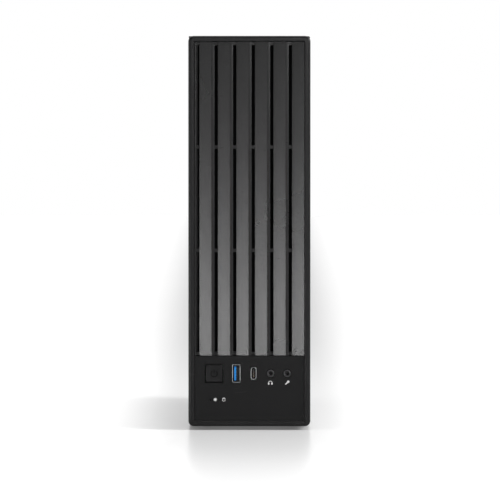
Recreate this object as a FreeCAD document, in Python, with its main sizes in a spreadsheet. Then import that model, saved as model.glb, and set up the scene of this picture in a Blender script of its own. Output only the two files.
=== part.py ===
"""Slim upright computer case for a small motherboard, with its front louvres and sockets.

The front faces -Y, +X is to the right of someone looking at the front, and the feet stand on Z = 0.
All sizes are in millimetres. Every length is named once in the sheet and worked out from there.
"""
import FreeCAD, Part
import os
import Sketcher

# Name, value and meaning of each driving size
SIZES = (
    # What the case is made to hold
    ("board_width", 243.84, "motherboard, upright side"),
    ("board_depth", 243.84, "motherboard, front to back"),
    ("board_thickness", 1.57, "motherboard"),
    ("board_headroom", 1.1, "between motherboard and roof"),
    ("board_rear_gap", 1.56, "between motherboard and rear panel"),
    ("standoff_height", 6.35, "from tray to motherboard"),
    ("supply_width", 85.0, "power supply, side to side"),
    ("supply_height", 65.0, "power supply, upright"),
    ("supply_length", 175.0, "power supply, front to back"),
    ("supply_gap", 0.3, "air around the power supply"),
    ("drive_width", 101.6, "hard disk, front to back"),
    ("drive_length", 147.0, "hard disk, upright"),
    ("drive_height", 26.1, "hard disk, side to side"),
    ("bracket_length", 80.0, "slot cover with its tab's thickness"),
    ("bracket_width", 18.42, "slot cover"),
    ("bracket_foot", 4.12, "slot cover below the motherboard's face"),
    # Sheet steel body
    ("sheet_gauge", 0.8, "thickness of the sheet steel"),
    ("bend_radius", 1.2, "outside radius of a fold"),
    ("fold_width", 8.0, "flange of the front and rear panels"),
    ("cover_lip", 12.0, "inward lip that the side cover lies on"),
    ("left_margin", 13.0, "from slot cover tabs to the side cover's skin"),
    ("body_inset", 0.2, "body inside the bezel's outline"),
    ("ledge_reach", 12.0, "slot ledge behind the rear panel"),
    ("cut_margin", 1.0, "overshoot of a cutting solid"),
    ("row_rise", 0.866, "rise of a row of air holes, as a share of their pitch"),
    ("row_shift", 0.25, "sideways shift of a row of air holes, as a share of their pitch"),
    ("fit_gap", 0.3, "room around a part that fits in another"),
    ("thread_gap", 0.05, "between a screw and its hole"),
    # Side cover
    ("cover_travel", 15.0, "slide that frees the side cover"),
    ("flange_gap", 0.9, "side cover's flange to the slot screws"),
    ("hook_inset", 50.0, "first hook from the body's front and rear"),
    ("hook_width", 6.0, "hook, upright"),
    ("hook_reach", 6.0, "hook tongue, forwards"),
    ("cover_hole_radius", 2.5, "air hole"),
    ("cover_hole_pitch", 8.0, "air holes"),
    ("cover_hole_columns", 10, "air holes front to back"),
    ("cover_hole_rows", 11, "air holes upright"),
    ("cover_holes_forward", 95.0, "from the rear panel to the middle of the air holes"),
    ("thumb_inset", 22.0, "thumbscrew from the body's top and bottom"),
    ("thumb_edge", 0.3, "flange left beside a thumbscrew head"),
    ("thumb_head", 7.5, "thumbscrew head, along its axis"),
    ("thumb_collar", 1.2, "smooth collar under the thumbscrew head"),
    ("thumb_waist", 0.8, "collar's radius, as a share of the head's"),
    ("thumb_shank", 7.0, "thumbscrew thread below the flange"),
    ("screw_radius", 1.7, "case screw thread"),
    ("screw_head_radius", 3.4, "case screw head"),
    ("screw_head_height", 2.6, "case screw head"),
    ("head_straight", 0.55, "straight share of a screw head's height"),
    ("head_crown", 0.62, "flat top of a screw head, as a share of its radius"),
    # Rear panel
    ("port_window_gap", 3.6, "from the highest card slot to the motherboard's sockets' window"),
    ("port_window_width", 44.45, "window for the motherboard's sockets"),
    ("port_window_drop", 2.24, "window's edge behind the motherboard's face"),
    ("port_window_top", 2.0, "window's top below the motherboard's edge"),
    ("slot_count", 4, "card slots"),
    ("slot_pitch", 20.32, "card slots"),
    ("slot_window", 12.06, "open height of a card slot"),
    ("slot_first", 12.5, "lowest card slot above the motherboard's edge"),
    ("slot_end", 7.0, "slot cover past the end of its window"),
    ("supply_rim", 6.0, "rear panel around the power supply window"),
    ("supply_screw_inset", 4.0, "power supply screws from its edges"),
    ("rear_hole_radius", 2.2, "air hole in the rear panel"),
    ("rear_hole_pitch", 7.5, "air holes in the rear panel"),
    ("rear_hole_columns", 4, "air holes side to side"),
    ("rear_hole_rows", 17, "air holes upright"),
    # Motherboard standoffs, from the board's rear edge and its lower edge
    ("stand_row_rear", 10.16, "rear row"),
    ("stand_row_middle", 165.1, "middle row"),
    ("stand_low", 34.29, "lowest column"),
    ("stand_middle", 80.01, "middle column"),
    ("stand_edge", 6.35, "front row and highest column, from the motherboard's far edges"),
    ("stand_radius", 2.9, "standoff across corners, halved"),
    ("stand_hole", 1.25, "threaded hole radius"),
    ("stand_hole_depth", 5.0, "threaded hole"),
    ("stub_radius", 1.75, "stub swaged into the tray"),
    ("stub_reach", 0.9, "stub into the tray, as a share of the sheet's thickness"),
    # Feet, drive cage and power supply stop
    ("foot_height", 3.0, "gap under the bezel"),
    ("foot_radius", 8.0, "rubber foot where it meets the floor pan"),
    ("foot_taper", 1.0, "rubber foot, smaller radius at its sole"),
    ("foot_inset", 24.0, "foot from the body's ends"),
    ("foot_side", 14.0, "foot from the body's sides"),
    ("cage_gap", 0.8, "air in front of and behind the drive cage"),
    ("cage_above_fan", 5.0, "air between fan and drive cage"),
    ("cage_edge", 3.7, "drive cage flange past the disk"),
    ("drive_play", 0.3, "between disk and cage flange"),
    ("drive_stand", 3.4, "disk off the cage's web"),
    ("drive_hole_side", 6.35, "disk's screw holes above its base"),
    ("drive_hole_first", 28.5, "disk's lower screw hole"),
    ("drive_hole_pitch", 101.6, "disk's screw holes"),
    ("drive_hole_radius", 1.8, "hole for a disk screw"),
    ("cage_screw_inset", 14.0, "cage screws from the web's edges"),
    ("cage_head_height", 1.8, "cage screw head"),
    ("stop_height", 22.0, "power supply stop"),
    ("stop_base", 18.0, "power supply stop, foot on the floor pan"),
    ("stop_width", 60.0, "power supply stop"),
    # Fan
    ("fan_size", 80.0, "fan frame, side"),
    ("fan_depth", 25.0, "fan frame"),
    ("fan_bore", 38.0, "radius of the fan's duct"),
    ("fan_corner", 4.0, "radius of the frame's corners"),
    ("fan_screw_pitch", 71.5, "fan screws"),
    ("fan_screw_radius", 2.1, "fan screw thread"),
    ("fan_screw_length", 11.0, "fan screw thread"),
    ("fan_height", 110.0, "fan's middle above the bezel's foot"),
    ("fan_arm", 4.0, "width of the arms that hold the motor"),
    ("fan_plate", 2.5, "thickness of the motor plate and arms"),
    ("hub_radius", 17.0, "rotor hub"),
    ("hub_wall", 1.5, "rotor hub wall"),
    ("hub_depth", 18.0, "rotor hub along its axis"),
    ("rotor_setback", 2.0, "rotor behind the frame's front face"),
    ("blade_count", 7, "rotor blades"),
    ("blade_tip_gap", 1.0, "between blade tips and duct"),
    ("blade_thickness", 1.4, "rotor blade"),
    ("blade_chord", 21.0, "rotor blade, across"),
    ("blade_angle", 38.0, "rotor blade's pitch in degrees"),
    ("shaft_radius", 1.5, "rotor shaft"),
    ("bearing_radius", 4.0, "bearing sleeve on the motor plate"),
    ("bearing_depth", 12.0, "bearing sleeve"),
    # Front plate
    ("front_hole_radius", 3.0, "air hole in the front plate"),
    ("front_hole_pitch", 9.0, "air holes in the front plate"),
    ("front_hole_columns", 7, "air holes side to side"),
    ("front_hole_rows", 14, "air holes upright"),
    ("lead_window_width", 34.0, "window for the front leads"),
    ("lead_window_height", 24.0, "window for the front leads"),
    ("lead_window_low", 18.0, "window for the front leads above the bezel's foot"),
    # Bezel
    ("bezel_depth", 32.0, "moulded bezel, front to back"),
    ("bezel_wall", 2.5, "moulded bezel wall"),
    ("bezel_corner", 4.5, "bezel's outer corners"),
    ("bezel_edge", 2.0, "rounding of the bezel's front edge"),
    ("frame_side", 4.8, "raised border at the sides"),
    ("frame_top", 4.5, "raised border at the top"),
    ("frame_bottom", 4.2, "raised border at the bottom"),
    ("seat_depth", 8.0, "rebate that takes the grille and the panel"),
    ("seat_ledge", 2.5, "ledge behind the rebate, width and thickness"),
    ("insert_gap", 0.15, "around the grille and the panel"),
    ("clip_width", 8.0, "bezel clip, upright"),
    ("clip_thickness", 2.0, "bezel clip"),
    ("clip_inset", 4.5, "bezel clip from the bezel's side"),
    ("clip_barb", 1.2, "hook of a bezel clip"),
    ("clip_nose", 3.0, "bezel clip behind the front plate"),
    ("clip_root", 10.0, "bezel clip's rib in front of the front plate"),
    ("clip_end", 30.0, "first and last clips from the bezel's ends"),
    # Louvre grille
    ("louvre_count", 6, "slanted blades"),
    ("louvre_rib", 2.1, "smooth strip between blades"),
    ("louvre_first", 0.95, "first strip, which the border partly covers"),
    ("louvre_slot", 2.6, "open slot beside each strip"),
    ("louvre_recess", 1.0, "strips behind the bezel's face"),
    ("louvre_lift", 0.5, "blade's high edge behind the strips"),
    ("louvre_fall", 3.8, "blade's low edge behind the strips"),
    ("louvre_skin", 2.0, "blade thickness"),
    ("louvre_bar", 3.0, "height of the bars behind the blades"),
    ("louvre_bar_count", 4, "bars behind the blades"),
    ("filter_depth", 3.0, "foam dust filter behind the blades"),
    # Control panel
    ("panel_height", 52.4, "flat control panel"),
    ("panel_recess", 1.2, "control panel behind the bezel's face"),
    ("panel_skin", 2.5, "control panel"),
    ("panel_rim", 1.5, "control panel's rim"),
    ("ports_height", 42.4, "sockets above the bezel's foot"),
    ("lights_height", 21.1, "lights above the bezel's foot"),
    ("button_x", -28.3, "power button"),
    ("button_width", 14.0, "power button"),
    ("button_height", 14.4, "power button"),
    ("button_gap", 0.4, "around the power button"),
    ("button_corner", 1.0, "power button's corners"),
    ("button_proud", 0.6, "power button in front of the panel"),
    ("button_body", 6.0, "power button, front to back"),
    ("button_flange", 1.2, "power button's retaining flange"),
    ("button_travel", 1.5, "power button's press"),
    ("stem_radius", 2.0, "power button's stem"),
    ("plunger_radius", 1.6, "switch plunger"),
    ("plunger_length", 3.2, "switch plunger"),
    ("switch_size", 7.0, "switch body, side"),
    ("switch_depth", 4.6, "switch body"),
    ("supply_light_x", -31.3, "power light"),
    ("drive_light_x", -23.8, "drive light"),
    ("light_radius", 0.8, "light pipe"),
    ("light_collar", 1.6, "light pipe's collar radius"),
    ("lamp_side", 2.0, "light on the socket board"),
    ("lamp_depth", 0.9, "light on the socket board"),
    ("wide_port_x", -10.5, "wide socket"),
    ("wide_port_width", 6.4, "wide socket's shell"),
    ("wide_port_height", 14.4, "wide socket's shell"),
    ("wide_port_corner", 0.8, "wide socket's shell"),
    ("wide_tongue", 1.6, "wide socket's tongue"),
    ("wide_tongue_side", 0.9, "tongue from the shell's left wall"),
    ("wide_tongue_height", 11.2, "wide socket's tongue"),
    ("wide_tongue_back", 0.8, "tongue behind the shell's mouth"),
    ("small_port_x", 3.4, "small rounded socket"),
    ("small_port_width", 4.4, "small rounded socket's shell"),
    ("small_port_height", 10.0, "small rounded socket's shell"),
    ("small_port_flat", 0.176, "flat stretch between the small shell's rounded corners"),
    ("small_tongue", 0.8, "small socket's tongue"),
    ("small_tongue_height", 6.7, "small socket's tongue"),
    ("small_tongue_back", 1.2, "small tongue behind the shell's mouth"),
    ("port_wall", 0.5, "socket shells"),
    ("port_base", 5.0, "moulded block at the back of a socket"),
    ("jack_x", 17.1, "headphone socket"),
    ("jack_pitch", 13.2, "between the two round sockets"),
    ("jack_bore", 1.8, "round socket's hole"),
    ("jack_sleeve", 2.6, "round socket's sleeve"),
    ("jack_dish", 3.6, "dished ring around a round socket"),
    ("jack_dish_depth", 0.8, "dished ring"),
    ("jack_body", 8.0, "round socket's block"),
    ("jack_end", 1.0, "closed end of a round socket"),
    ("circuit_back", 16.0, "socket board behind the bezel's face"),
    ("circuit_thickness", 1.6, "socket board"),
    ("circuit_left_margin", 13.5, "socket board left of the button's middle"),
    ("circuit_right_margin", 10.5, "socket board right of the last socket's middle"),
    ("circuit_low", 9.0, "socket board above the bezel's foot"),
    ("circuit_high", 53.5, "socket board's top above the bezel's foot"),
    ("post_inset", 3.5, "posts from the socket board's edges"),
    ("post_radius", 2.6, "posts behind the panel"),
    ("post_screw", 1.25, "socket board's screws"),
    ("post_screw_length", 9.0, "socket board's screws"),
    ("post_head", 2.5, "socket board's screw heads"),
    ("post_head_height", 1.6, "socket board's screw heads"),
    ("header_length", 20.0, "lead header"),
    ("header_height", 8.8, "lead header"),
    ("header_depth", 9.0, "lead header"),
    ("header_wall", 1.2, "lead header"),
    ("header_floor", 2.4, "lead header's base"),
    ("pin_side", 0.64, "header pins"),
    ("pin_pitch", 2.54, "header pins"),
    ("pin_columns", 5, "header pins"),
    ("pin_length", 5.6, "header pins above the base"),
)

document = FreeCAD.newDocument("slim_case")
sheet = document.addObject("Spreadsheet::Sheet", "Sizes")
for row, (alias, value, meaning) in enumerate(SIZES, 1):
    sheet.set(f"A{row}", alias)
    sheet.set(f"B{row}", str(value))
    sheet.set(f"C{row}", meaning)
    sheet.setAlias(f"B{row}", alias)
document.recompute()


class Length:
    """A length worked out from the sheet: its expression, and its number as a sketch's first guess."""

    def __init__(self, text, number):
        self.text = text
        self.number = float(number)

    def __add__(self, other):
        other = as_length(other)
        return Length(f"({self.text} + {other.text})", self.number + other.number)

    def __sub__(self, other):
        other = as_length(other)
        return Length(f"({self.text} - {other.text})", self.number - other.number)

    def __mul__(self, factor):
        factor = as_length(factor)
        return Length(f"({self.text} * {factor.text})", self.number * factor.number)

    def __truediv__(self, divisor):
        divisor = as_length(divisor)
        return Length(f"({self.text} / {divisor.text})", self.number / divisor.number)

    def __neg__(self):
        return Length(f"(0 - {self.text})", -self.number)

    __radd__ = __add__
    __rmul__ = __mul__


def as_length(value):
    """A plain number joins an expression as it is."""
    if isinstance(value, Length):
        return value
    return Length(repr(value), value)


class Named:
    """Reads a size of the sheet by its alias."""

    def __getattr__(self, alias):
        return Length(f"Sizes.{alias}", sheet.get(alias))


size = Named()
ZERO = as_length(0)

TURNS = {
    "+X": FreeCAD.Rotation(FreeCAD.Vector(0, 0, 1), FreeCAD.Vector(1, 0, 0)),
    "-X": FreeCAD.Rotation(FreeCAD.Vector(0, 0, 1), FreeCAD.Vector(-1, 0, 0)),
    "+Y": FreeCAD.Rotation(FreeCAD.Vector(0, 0, 1), FreeCAD.Vector(0, 1, 0)),
    "-Y": FreeCAD.Rotation(FreeCAD.Vector(0, 0, 1), FreeCAD.Vector(0, -1, 0)),
    "+Z": FreeCAD.Rotation(),
}
subparts = []


def count(alias):
    """A whole number of copies."""
    return int(sheet.get(alias))


def bind(piece, name, length):
    piece.setExpression(name, as_length(length).text)


def place(piece, corner):
    for axis, length in zip("xyz", corner):
        bind(piece, f"Placement.Base.{axis}", length)


def block(name, low, high):
    """A box between two opposite corners."""
    piece = document.addObject("Part::Box", name)
    for side, start, end in zip(("Length", "Width", "Height"), low, high):
        bind(piece, side, as_length(end) - start)
    place(piece, low)
    return piece


def rod(name, start, direction, radius, length):
    """A round bar that runs from its start along a named direction."""
    piece = document.addObject("Part::Cylinder", name)
    piece.Placement.Rotation = TURNS[direction]
    bind(piece, "Radius", radius)
    bind(piece, "Height", length)
    place(piece, start)
    return piece


def hexagon(name, start, direction, radius, length):
    """A six-sided bar, radius across its corners."""
    piece = document.addObject("Part::Prism", name)
    piece.Polygon = 6
    piece.Placement.Rotation = TURNS[direction]
    bind(piece, "Circumradius", radius)
    bind(piece, "Height", length)
    place(piece, start)
    return piece


def fused(name, pieces):
    piece = document.addObject("Part::MultiFuse", name)
    piece.Shapes = pieces
    piece.Refine = True
    return piece


def grouped(name, pieces):
    piece = document.addObject("Part::Compound", name)
    piece.Links = pieces
    return piece


def carved(name, base, tools):
    """The base without its tools, which may overlap each other."""
    piece = document.addObject("Part::Cut", name)
    piece.Base = base
    piece.Tool = tools[0] if len(tools) == 1 else fused(f"{name}_tools", tools)
    piece.Refine = True
    return piece


def shared(name, first, second):
    """What two pieces have in common."""
    piece = document.addObject("Part::Common", name)
    piece.Base = first
    piece.Tool = second
    return piece


def rounded(name, base, radius, chosen):
    """The base with the chosen edges rounded."""
    document.recompute()
    box = base.Shape.BoundBox
    piece = document.addObject("Part::Fillet", name)
    piece.Base = base
    edges = []
    for number, edge in enumerate(base.Shape.Edges, 1):
        if chosen(edge, box):
            edges.append((number, radius.number, radius.number))
    piece.Edges = edges
    return piece


def spans(edge, axis):
    """How far an edge reaches along an axis."""
    return getattr(edge.BoundBox, f"{axis}Length")


def lengthwise(edge, box):
    """Straight edges along Y."""
    return spans(edge, "X") < 0.001 and spans(edge, "Z") < 0.001


def front_outline(edge, box):
    """All edges of the foremost face."""
    return edge.BoundBox.YMax < box.YMin + 0.001


def rear_left_fold(edge, box):
    """The upright edge at the rear left."""
    upright = spans(edge, "X") < 0.001 and spans(edge, "Y") < 0.001
    return upright and edge.BoundBox.XMin < box.XMin + 0.001 and edge.BoundBox.YMax > box.YMax - 0.001


def outline(body, role, name, corners):
    """A closed sketch of straight lines whose corners are bound to the sheet."""
    sketch = body.newObject("Sketcher::SketchObject", name)
    plane = [item for item in body.Origin.OriginFeatures if item.Role == role][0]
    sketch.AttachmentSupport = [(plane, "")]
    sketch.MapMode = "FlatFace"
    points = [FreeCAD.Vector(as_length(u).number, as_length(v).number, 0) for u, v in corners]
    total = len(points)
    for index in range(total):
        sketch.addGeometry(Part.LineSegment(points[index], points[(index + 1) % total]), False)
    for index in range(total):
        sketch.addConstraint(Sketcher.Constraint("Coincident", index, 2, (index + 1) % total, 1))
    for index, corner in enumerate(corners):
        for kind, axis, length in (("DistanceX", -2, corner[0]), ("DistanceY", -1, corner[1])):
            length = as_length(length)
            if length is ZERO:
                sketch.addConstraint(Sketcher.Constraint("PointOnObject", index, 1, axis))
            else:
                limit = Sketcher.Constraint(kind, -1, 1, index, 1, length.number)
                number = sketch.addConstraint(limit)
                sketch.setExpression(f"Constraints[{number}]", length.text)
    return sketch


def extruded(name, corners, start, length):
    """An outline in X and Y, carried upwards."""
    body = document.addObject("PartDesign::Body", name)
    sketch = outline(body, "XY_Plane", f"{name}_outline", corners)
    pad = body.newObject("PartDesign::Pad", f"{name}_pad")
    pad.Profile = sketch
    bind(pad, "Length", length)
    sketch.Visibility = False
    place(body, start)
    return body


def turned(name, corners, start, direction):
    """A half section, radius then height, turned about the axis that points along the direction."""
    body = document.addObject("PartDesign::Body", name)
    sketch = outline(body, "XZ_Plane", f"{name}_section", corners)
    turn = body.newObject("PartDesign::Revolution", f"{name}_turn")
    turn.Profile = sketch
    turn.ReferenceAxis = (sketch, ["V_Axis"])
    turn.Angle = 360.0
    body.Placement.Rotation = TURNS[direction]
    place(body, start)
    return body


def screw(name, start, direction, radius, length, head_radius, head_height):
    """A pan head screw: its shank starts at its tip and its head ends along the direction."""
    shoulder = length + head_height * size.head_straight
    corners = [
        (ZERO, ZERO),
        (radius, ZERO),
        (radius, length),
        (head_radius, length),
        (head_radius, shoulder),
        (head_radius * size.head_crown, length + head_height),
        (ZERO, length + head_height),
    ]
    return turned(name, corners, start, direction)


def subpart(piece):
    """Notes a finished piece for the checks and the files."""
    subparts.append(piece)
    return piece


def holes(name, columns, rows, pitch, radius, centre, across, direction, length):
    """Round cutters in staggered rows about a centre, across one axis and up Z."""
    cutters = []
    for row in range(rows):
        shift = size.row_shift if row % 2 else -size.row_shift
        for column in range(columns):
            sideways = pitch * (shift + (column - (columns - 1) / 2))
            upwards = pitch * size.row_rise * (row - (rows - 1) / 2)
            start = list(centre)
            start[across] = start[across] + sideways
            start[2] = start[2] + upwards
            cutters.append(rod(f"{name}_{row}_{column}", start, direction, radius, length))
    return grouped(name, cutters)


# Planes of the case, worked out from what it holds
gauge = size.sheet_gauge
margin = size.cut_margin
sheet_cut = gauge + margin * 2
bezel_low = size.foot_height
body_low = size.foot_height + size.body_inset
floor = body_low + gauge
supply_low = floor + gauge + size.supply_gap
supply_high = supply_low + size.supply_height
board_low = supply_high + size.supply_gap
board_high = board_low + size.board_width
roof = board_high + size.board_headroom
body_high = roof + gauge
bezel_high = body_high + size.body_inset
body_half = (size.left_margin + size.bracket_length + size.standoff_height + size.board_thickness
             - size.bracket_foot + gauge) / 2
bezel_half = body_half + size.body_inset
cover_skin = -body_half
lip_out = -body_half + gauge
lip_in = lip_out + gauge
tray = body_half - gauge
cage_width = size.drive_width + size.drive_play * 2 + gauge * 2
drive_zone = size.fold_width + size.cage_gap * 2 + cage_width
body_depth = drive_zone + size.board_depth + size.board_rear_gap + gauge
front = -(size.bezel_depth + body_depth + size.ledge_reach) / 2
body_front = front + size.bezel_depth
body_rear = body_front + body_depth
rear_inside = body_rear - gauge
board_rear = rear_inside - size.board_rear_gap
board_face = tray - size.standoff_height - size.board_thickness
fan_z = bezel_low + size.fan_height
fan_front = body_front + gauge
tab_face = cover_skin + size.left_margin
cover_flange = size.left_margin - size.screw_head_height - size.flange_gap
thumb_x = cover_skin + cover_flange / 2
thumb_heights = (body_low + size.thumb_inset, body_high - size.thumb_inset)
slot_heights = [board_low + size.slot_first + size.slot_pitch * k for k in range(count("slot_count"))]
seat = front + size.seat_depth
recess_half = bezel_half - size.frame_side
panel_low = bezel_low + size.frame_bottom
panel_high = panel_low + size.panel_height
grille_high = bezel_high - size.frame_top
panel_face = front + size.panel_recess
panel_back = panel_face + size.panel_skin
circuit_front = front + size.circuit_back
circuit_rear = circuit_front + size.circuit_thickness
ports_z = bezel_low + size.ports_height
lights_z = bezel_low + size.lights_height
jack_places = (size.jack_x, size.jack_x + size.jack_pitch)
circuit_left = size.button_x - size.circuit_left_margin
circuit_right = jack_places[1] + size.circuit_right_margin
circuit_low = bezel_low + size.circuit_low
circuit_high = bezel_low + size.circuit_high
post_places = [
    (x, z)
    for x in (circuit_left + size.post_inset, circuit_right - size.post_inset)
    for z in (circuit_low + size.post_inset, circuit_high - size.post_inset)
]
stand_places = []
for stand_y in (size.stand_row_rear, size.stand_row_middle, size.board_depth - size.stand_edge):
    for stand_z in (size.stand_low, size.stand_middle, size.board_width - size.stand_edge):
        stand_places.append((board_rear - stand_y, board_low + stand_z))
hook_step = (body_depth - size.hook_inset * 2) / 2
hook_places = [body_front + size.hook_inset + hook_step * k for k in range(3)]
hook_heights = (body_low + size.cover_lip / 2, body_high - size.cover_lip / 2)
cage_front = body_front + size.fold_width + size.cage_gap
cage_back = cage_front + cage_width
cage_low = fan_z + size.fan_size / 2 + size.cage_above_fan
cage_high = cage_low + size.drive_length
cage_web = tray - gauge
cage_screws_at = [
    (y, z)
    for y in (cage_front + size.cage_screw_inset, cage_back - size.cage_screw_inset)
    for z in (cage_low + size.cage_screw_inset, cage_high - size.cage_screw_inset)
]
supply_right = cage_web - size.supply_gap
supply_left = supply_right - size.supply_width
clip_heights = (bezel_low + size.clip_end, (bezel_low + bezel_high) / 2, bezel_high - size.clip_end)


def chassis_shell():
    """One sheet folded round three sides, with lips that carry the side cover."""
    outside = block("shell_outside", (lip_out, body_front, body_low), (body_half, body_rear, body_high))
    outside = rounded("shell_folds", outside, size.bend_radius, lengthwise)
    inside = block(
        "shell_inside", (lip_in, body_front - margin, floor), (tray, body_rear + margin, roof)
    )
    inside = rounded("shell_inner_folds", inside, size.bend_radius - gauge, lengthwise)
    window = block(
        "shell_window",
        (lip_out - margin, body_front - margin, body_low + size.cover_lip),
        (lip_in + margin, body_rear + margin, body_high - size.cover_lip),
    )
    tools = [inside, window]
    for index, (y, z) in enumerate(stand_places):
        tools.append(rod(f"stub_hole_{index}", (tray - margin, y, z), "+X", size.stub_radius, sheet_cut))
    for index, (y, z) in enumerate(cage_screws_at):
        hole = size.screw_radius + size.thread_gap
        tools.append(rod(f"cage_wall_hole_{index}", (tray - margin, y, z), "+X", hole, sheet_cut))
    for row, z in enumerate(hook_heights):
        for column, y in enumerate(hook_places):
            tools.append(block(
                f"hook_slot_{row}_{column}",
                (lip_out - margin, y - size.fit_gap, z - size.hook_width / 2 - size.fit_gap),
                (lip_in + margin, y + gauge + size.cover_travel + size.fit_gap,
                 z + size.hook_width / 2 + size.fit_gap),
            ))
    subpart(carved("chassis_shell", outside, tools))


def rear_panel():
    """Rear panel with its windows and air holes, its four weld flanges and the slot ledge.

    The panel is kept as flat zones that meet along its windows, so each zone is a plain plate.
    """
    outside = block("rear_blank", (lip_in, rear_inside, floor), (tray, body_rear, roof))
    outside = rounded("rear_corners", outside, size.bend_radius, lengthwise)
    start = body_rear - size.fold_width
    bend = size.bend_radius
    subpart(grouped("rear_flanges", [
        block("flange_low", (lip_in + bend, start, floor), (tray - bend, rear_inside, floor + gauge)),
        block("flange_high", (lip_in + bend, start, roof - gauge), (tray - bend, rear_inside, roof)),
        block("flange_left", (lip_in, start, floor + bend), (lip_in + gauge, rear_inside, roof - bend)),
        block("flange_right", (tray - gauge, start, floor + bend), (tray, rear_inside, roof - bend)),
    ]))
    through = (rear_inside - margin, body_rear + margin)
    window_right = board_face + size.port_window_drop
    window_left = window_right - size.port_window_width
    window_high = board_high - size.port_window_top
    window_low = slot_heights[-1] + size.slot_window / 2 + size.port_window_gap
    tools = []
    tools.append(block(
        "port_window",
        (window_left, through[0], window_low),
        (window_right, through[1], window_high),
    ))
    for index, z in enumerate(slot_heights):
        tools.append(block(
            f"slot_window_{index}",
            (tab_face + gauge * 2, through[0], z - size.slot_window / 2),
            (tab_face + size.bracket_length - size.slot_end, through[1], z + size.slot_window / 2),
        ))
        tools.append(block(
            f"tab_slot_{index}",
            (tab_face - size.fit_gap, through[0], z - size.bracket_width / 2 - size.fit_gap),
            (tab_face + gauge, through[1], z + size.bracket_width / 2 + size.fit_gap),
        ))
    inlet_left = supply_left + size.supply_rim
    inlet_right = supply_right - size.supply_rim
    inlet_low = supply_low + size.supply_rim
    inlet_high = supply_high - size.supply_rim
    tools.append(block(
        "supply_window", (inlet_left, through[0], inlet_low), (inlet_right, through[1], inlet_high)
    ))
    hole = size.screw_radius + size.thread_gap
    inset = size.supply_screw_inset
    for column, x in enumerate((supply_left + inset, supply_right - inset)):
        for row, z in enumerate((supply_low + inset, supply_high - inset)):
            start = (x, through[0], z)
            tools.append(rod(f"supply_hole_{column}_{row}", start, "+Y", hole, sheet_cut))
    for index, z in enumerate(thumb_heights):
        tools.append(rod(f"thumb_hole_{index}", (thumb_x, through[0], z), "+Y", hole, sheet_cut))
    grid_x = (tab_face + window_left) / 2
    grid = holes(
        "rear_air", count("rear_hole_columns"), count("rear_hole_rows"), size.rear_hole_pitch,
        size.rear_hole_radius, (grid_x, through[0], (window_low + window_high) / 2), 0, "+Y", sheet_cut,
    )
    plate = carved("rear_plate", outside, tools)
    plate = carved("rear_perforated", plate, [grid])
    left, right = lip_in - margin, tray + margin
    low, high = floor - margin, roof + margin
    zones = (
        (left, right, low, inlet_low),
        (left, right, inlet_high, board_low),
        (left, inlet_left, inlet_low, inlet_high),
        (inlet_right, right, inlet_low, inlet_high),
        (left, right, board_low, window_low),
        (left, window_left, window_low, high),
        (window_left, right, window_high, high),
        (window_right, right, window_low, window_high),
    )
    pieces = []
    for index, (zone_left, zone_right, zone_low, zone_high) in enumerate(zones):
        zone = block(
            f"rear_zone_{index}", (zone_left, through[0], zone_low), (zone_right, through[1], zone_high)
        )
        pieces.append(shared(f"rear_part_{index}", plate, zone))
    subpart(grouped("rear_panel", pieces))
    ledge = block(
        "ledge_blank",
        (tab_face + gauge, body_rear, slot_heights[0] - size.slot_pitch / 2),
        (tab_face + gauge * 2, body_rear + size.ledge_reach, slot_heights[-1] + size.slot_pitch / 2),
    )
    ledge_holes = []
    for index, z in enumerate(slot_heights):
        start = (tab_face, body_rear + size.ledge_reach / 2, z)
        ledge_holes.append(rod(f"ledge_hole_{index}", start, "+X", hole, gauge * 2 + margin))
    subpart(carved("slot_ledge", ledge, ledge_holes))


def slot_covers():
    """Bent blanking plates behind the rear panel, and their screws."""
    screws = []
    for index, z in enumerate(slot_heights):
        low = z - size.bracket_width / 2
        high = z + size.bracket_width / 2
        plate = block(
            f"cover_blade_{index}",
            (tab_face, rear_inside - gauge, low),
            (tab_face + size.bracket_length, rear_inside, high),
        )
        tab = block(
            f"cover_tab_{index}",
            (tab_face, rear_inside - gauge, low),
            (tab_face + gauge, body_rear + size.ledge_reach - size.fit_gap, high),
        )
        hole_start = (tab_face - margin, body_rear + size.ledge_reach / 2, z)
        hole = rod(f"cover_hole_{index}", hole_start, "+X", size.screw_radius + size.fit_gap, sheet_cut)
        bent = fused(f"cover_bent_{index}", [plate, tab])
        subpart(carved(f"slot_cover_{index + 1}", bent, [hole]))
        length = gauge * 4
        start = (tab_face + length, body_rear + size.ledge_reach / 2, z)
        screws.append(screw(
            f"slot_screw_{index}", start, "-X", size.screw_radius, length,
            size.screw_head_radius, size.screw_head_height,
        ))
    subpart(grouped("slot_screws", screws))


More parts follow.
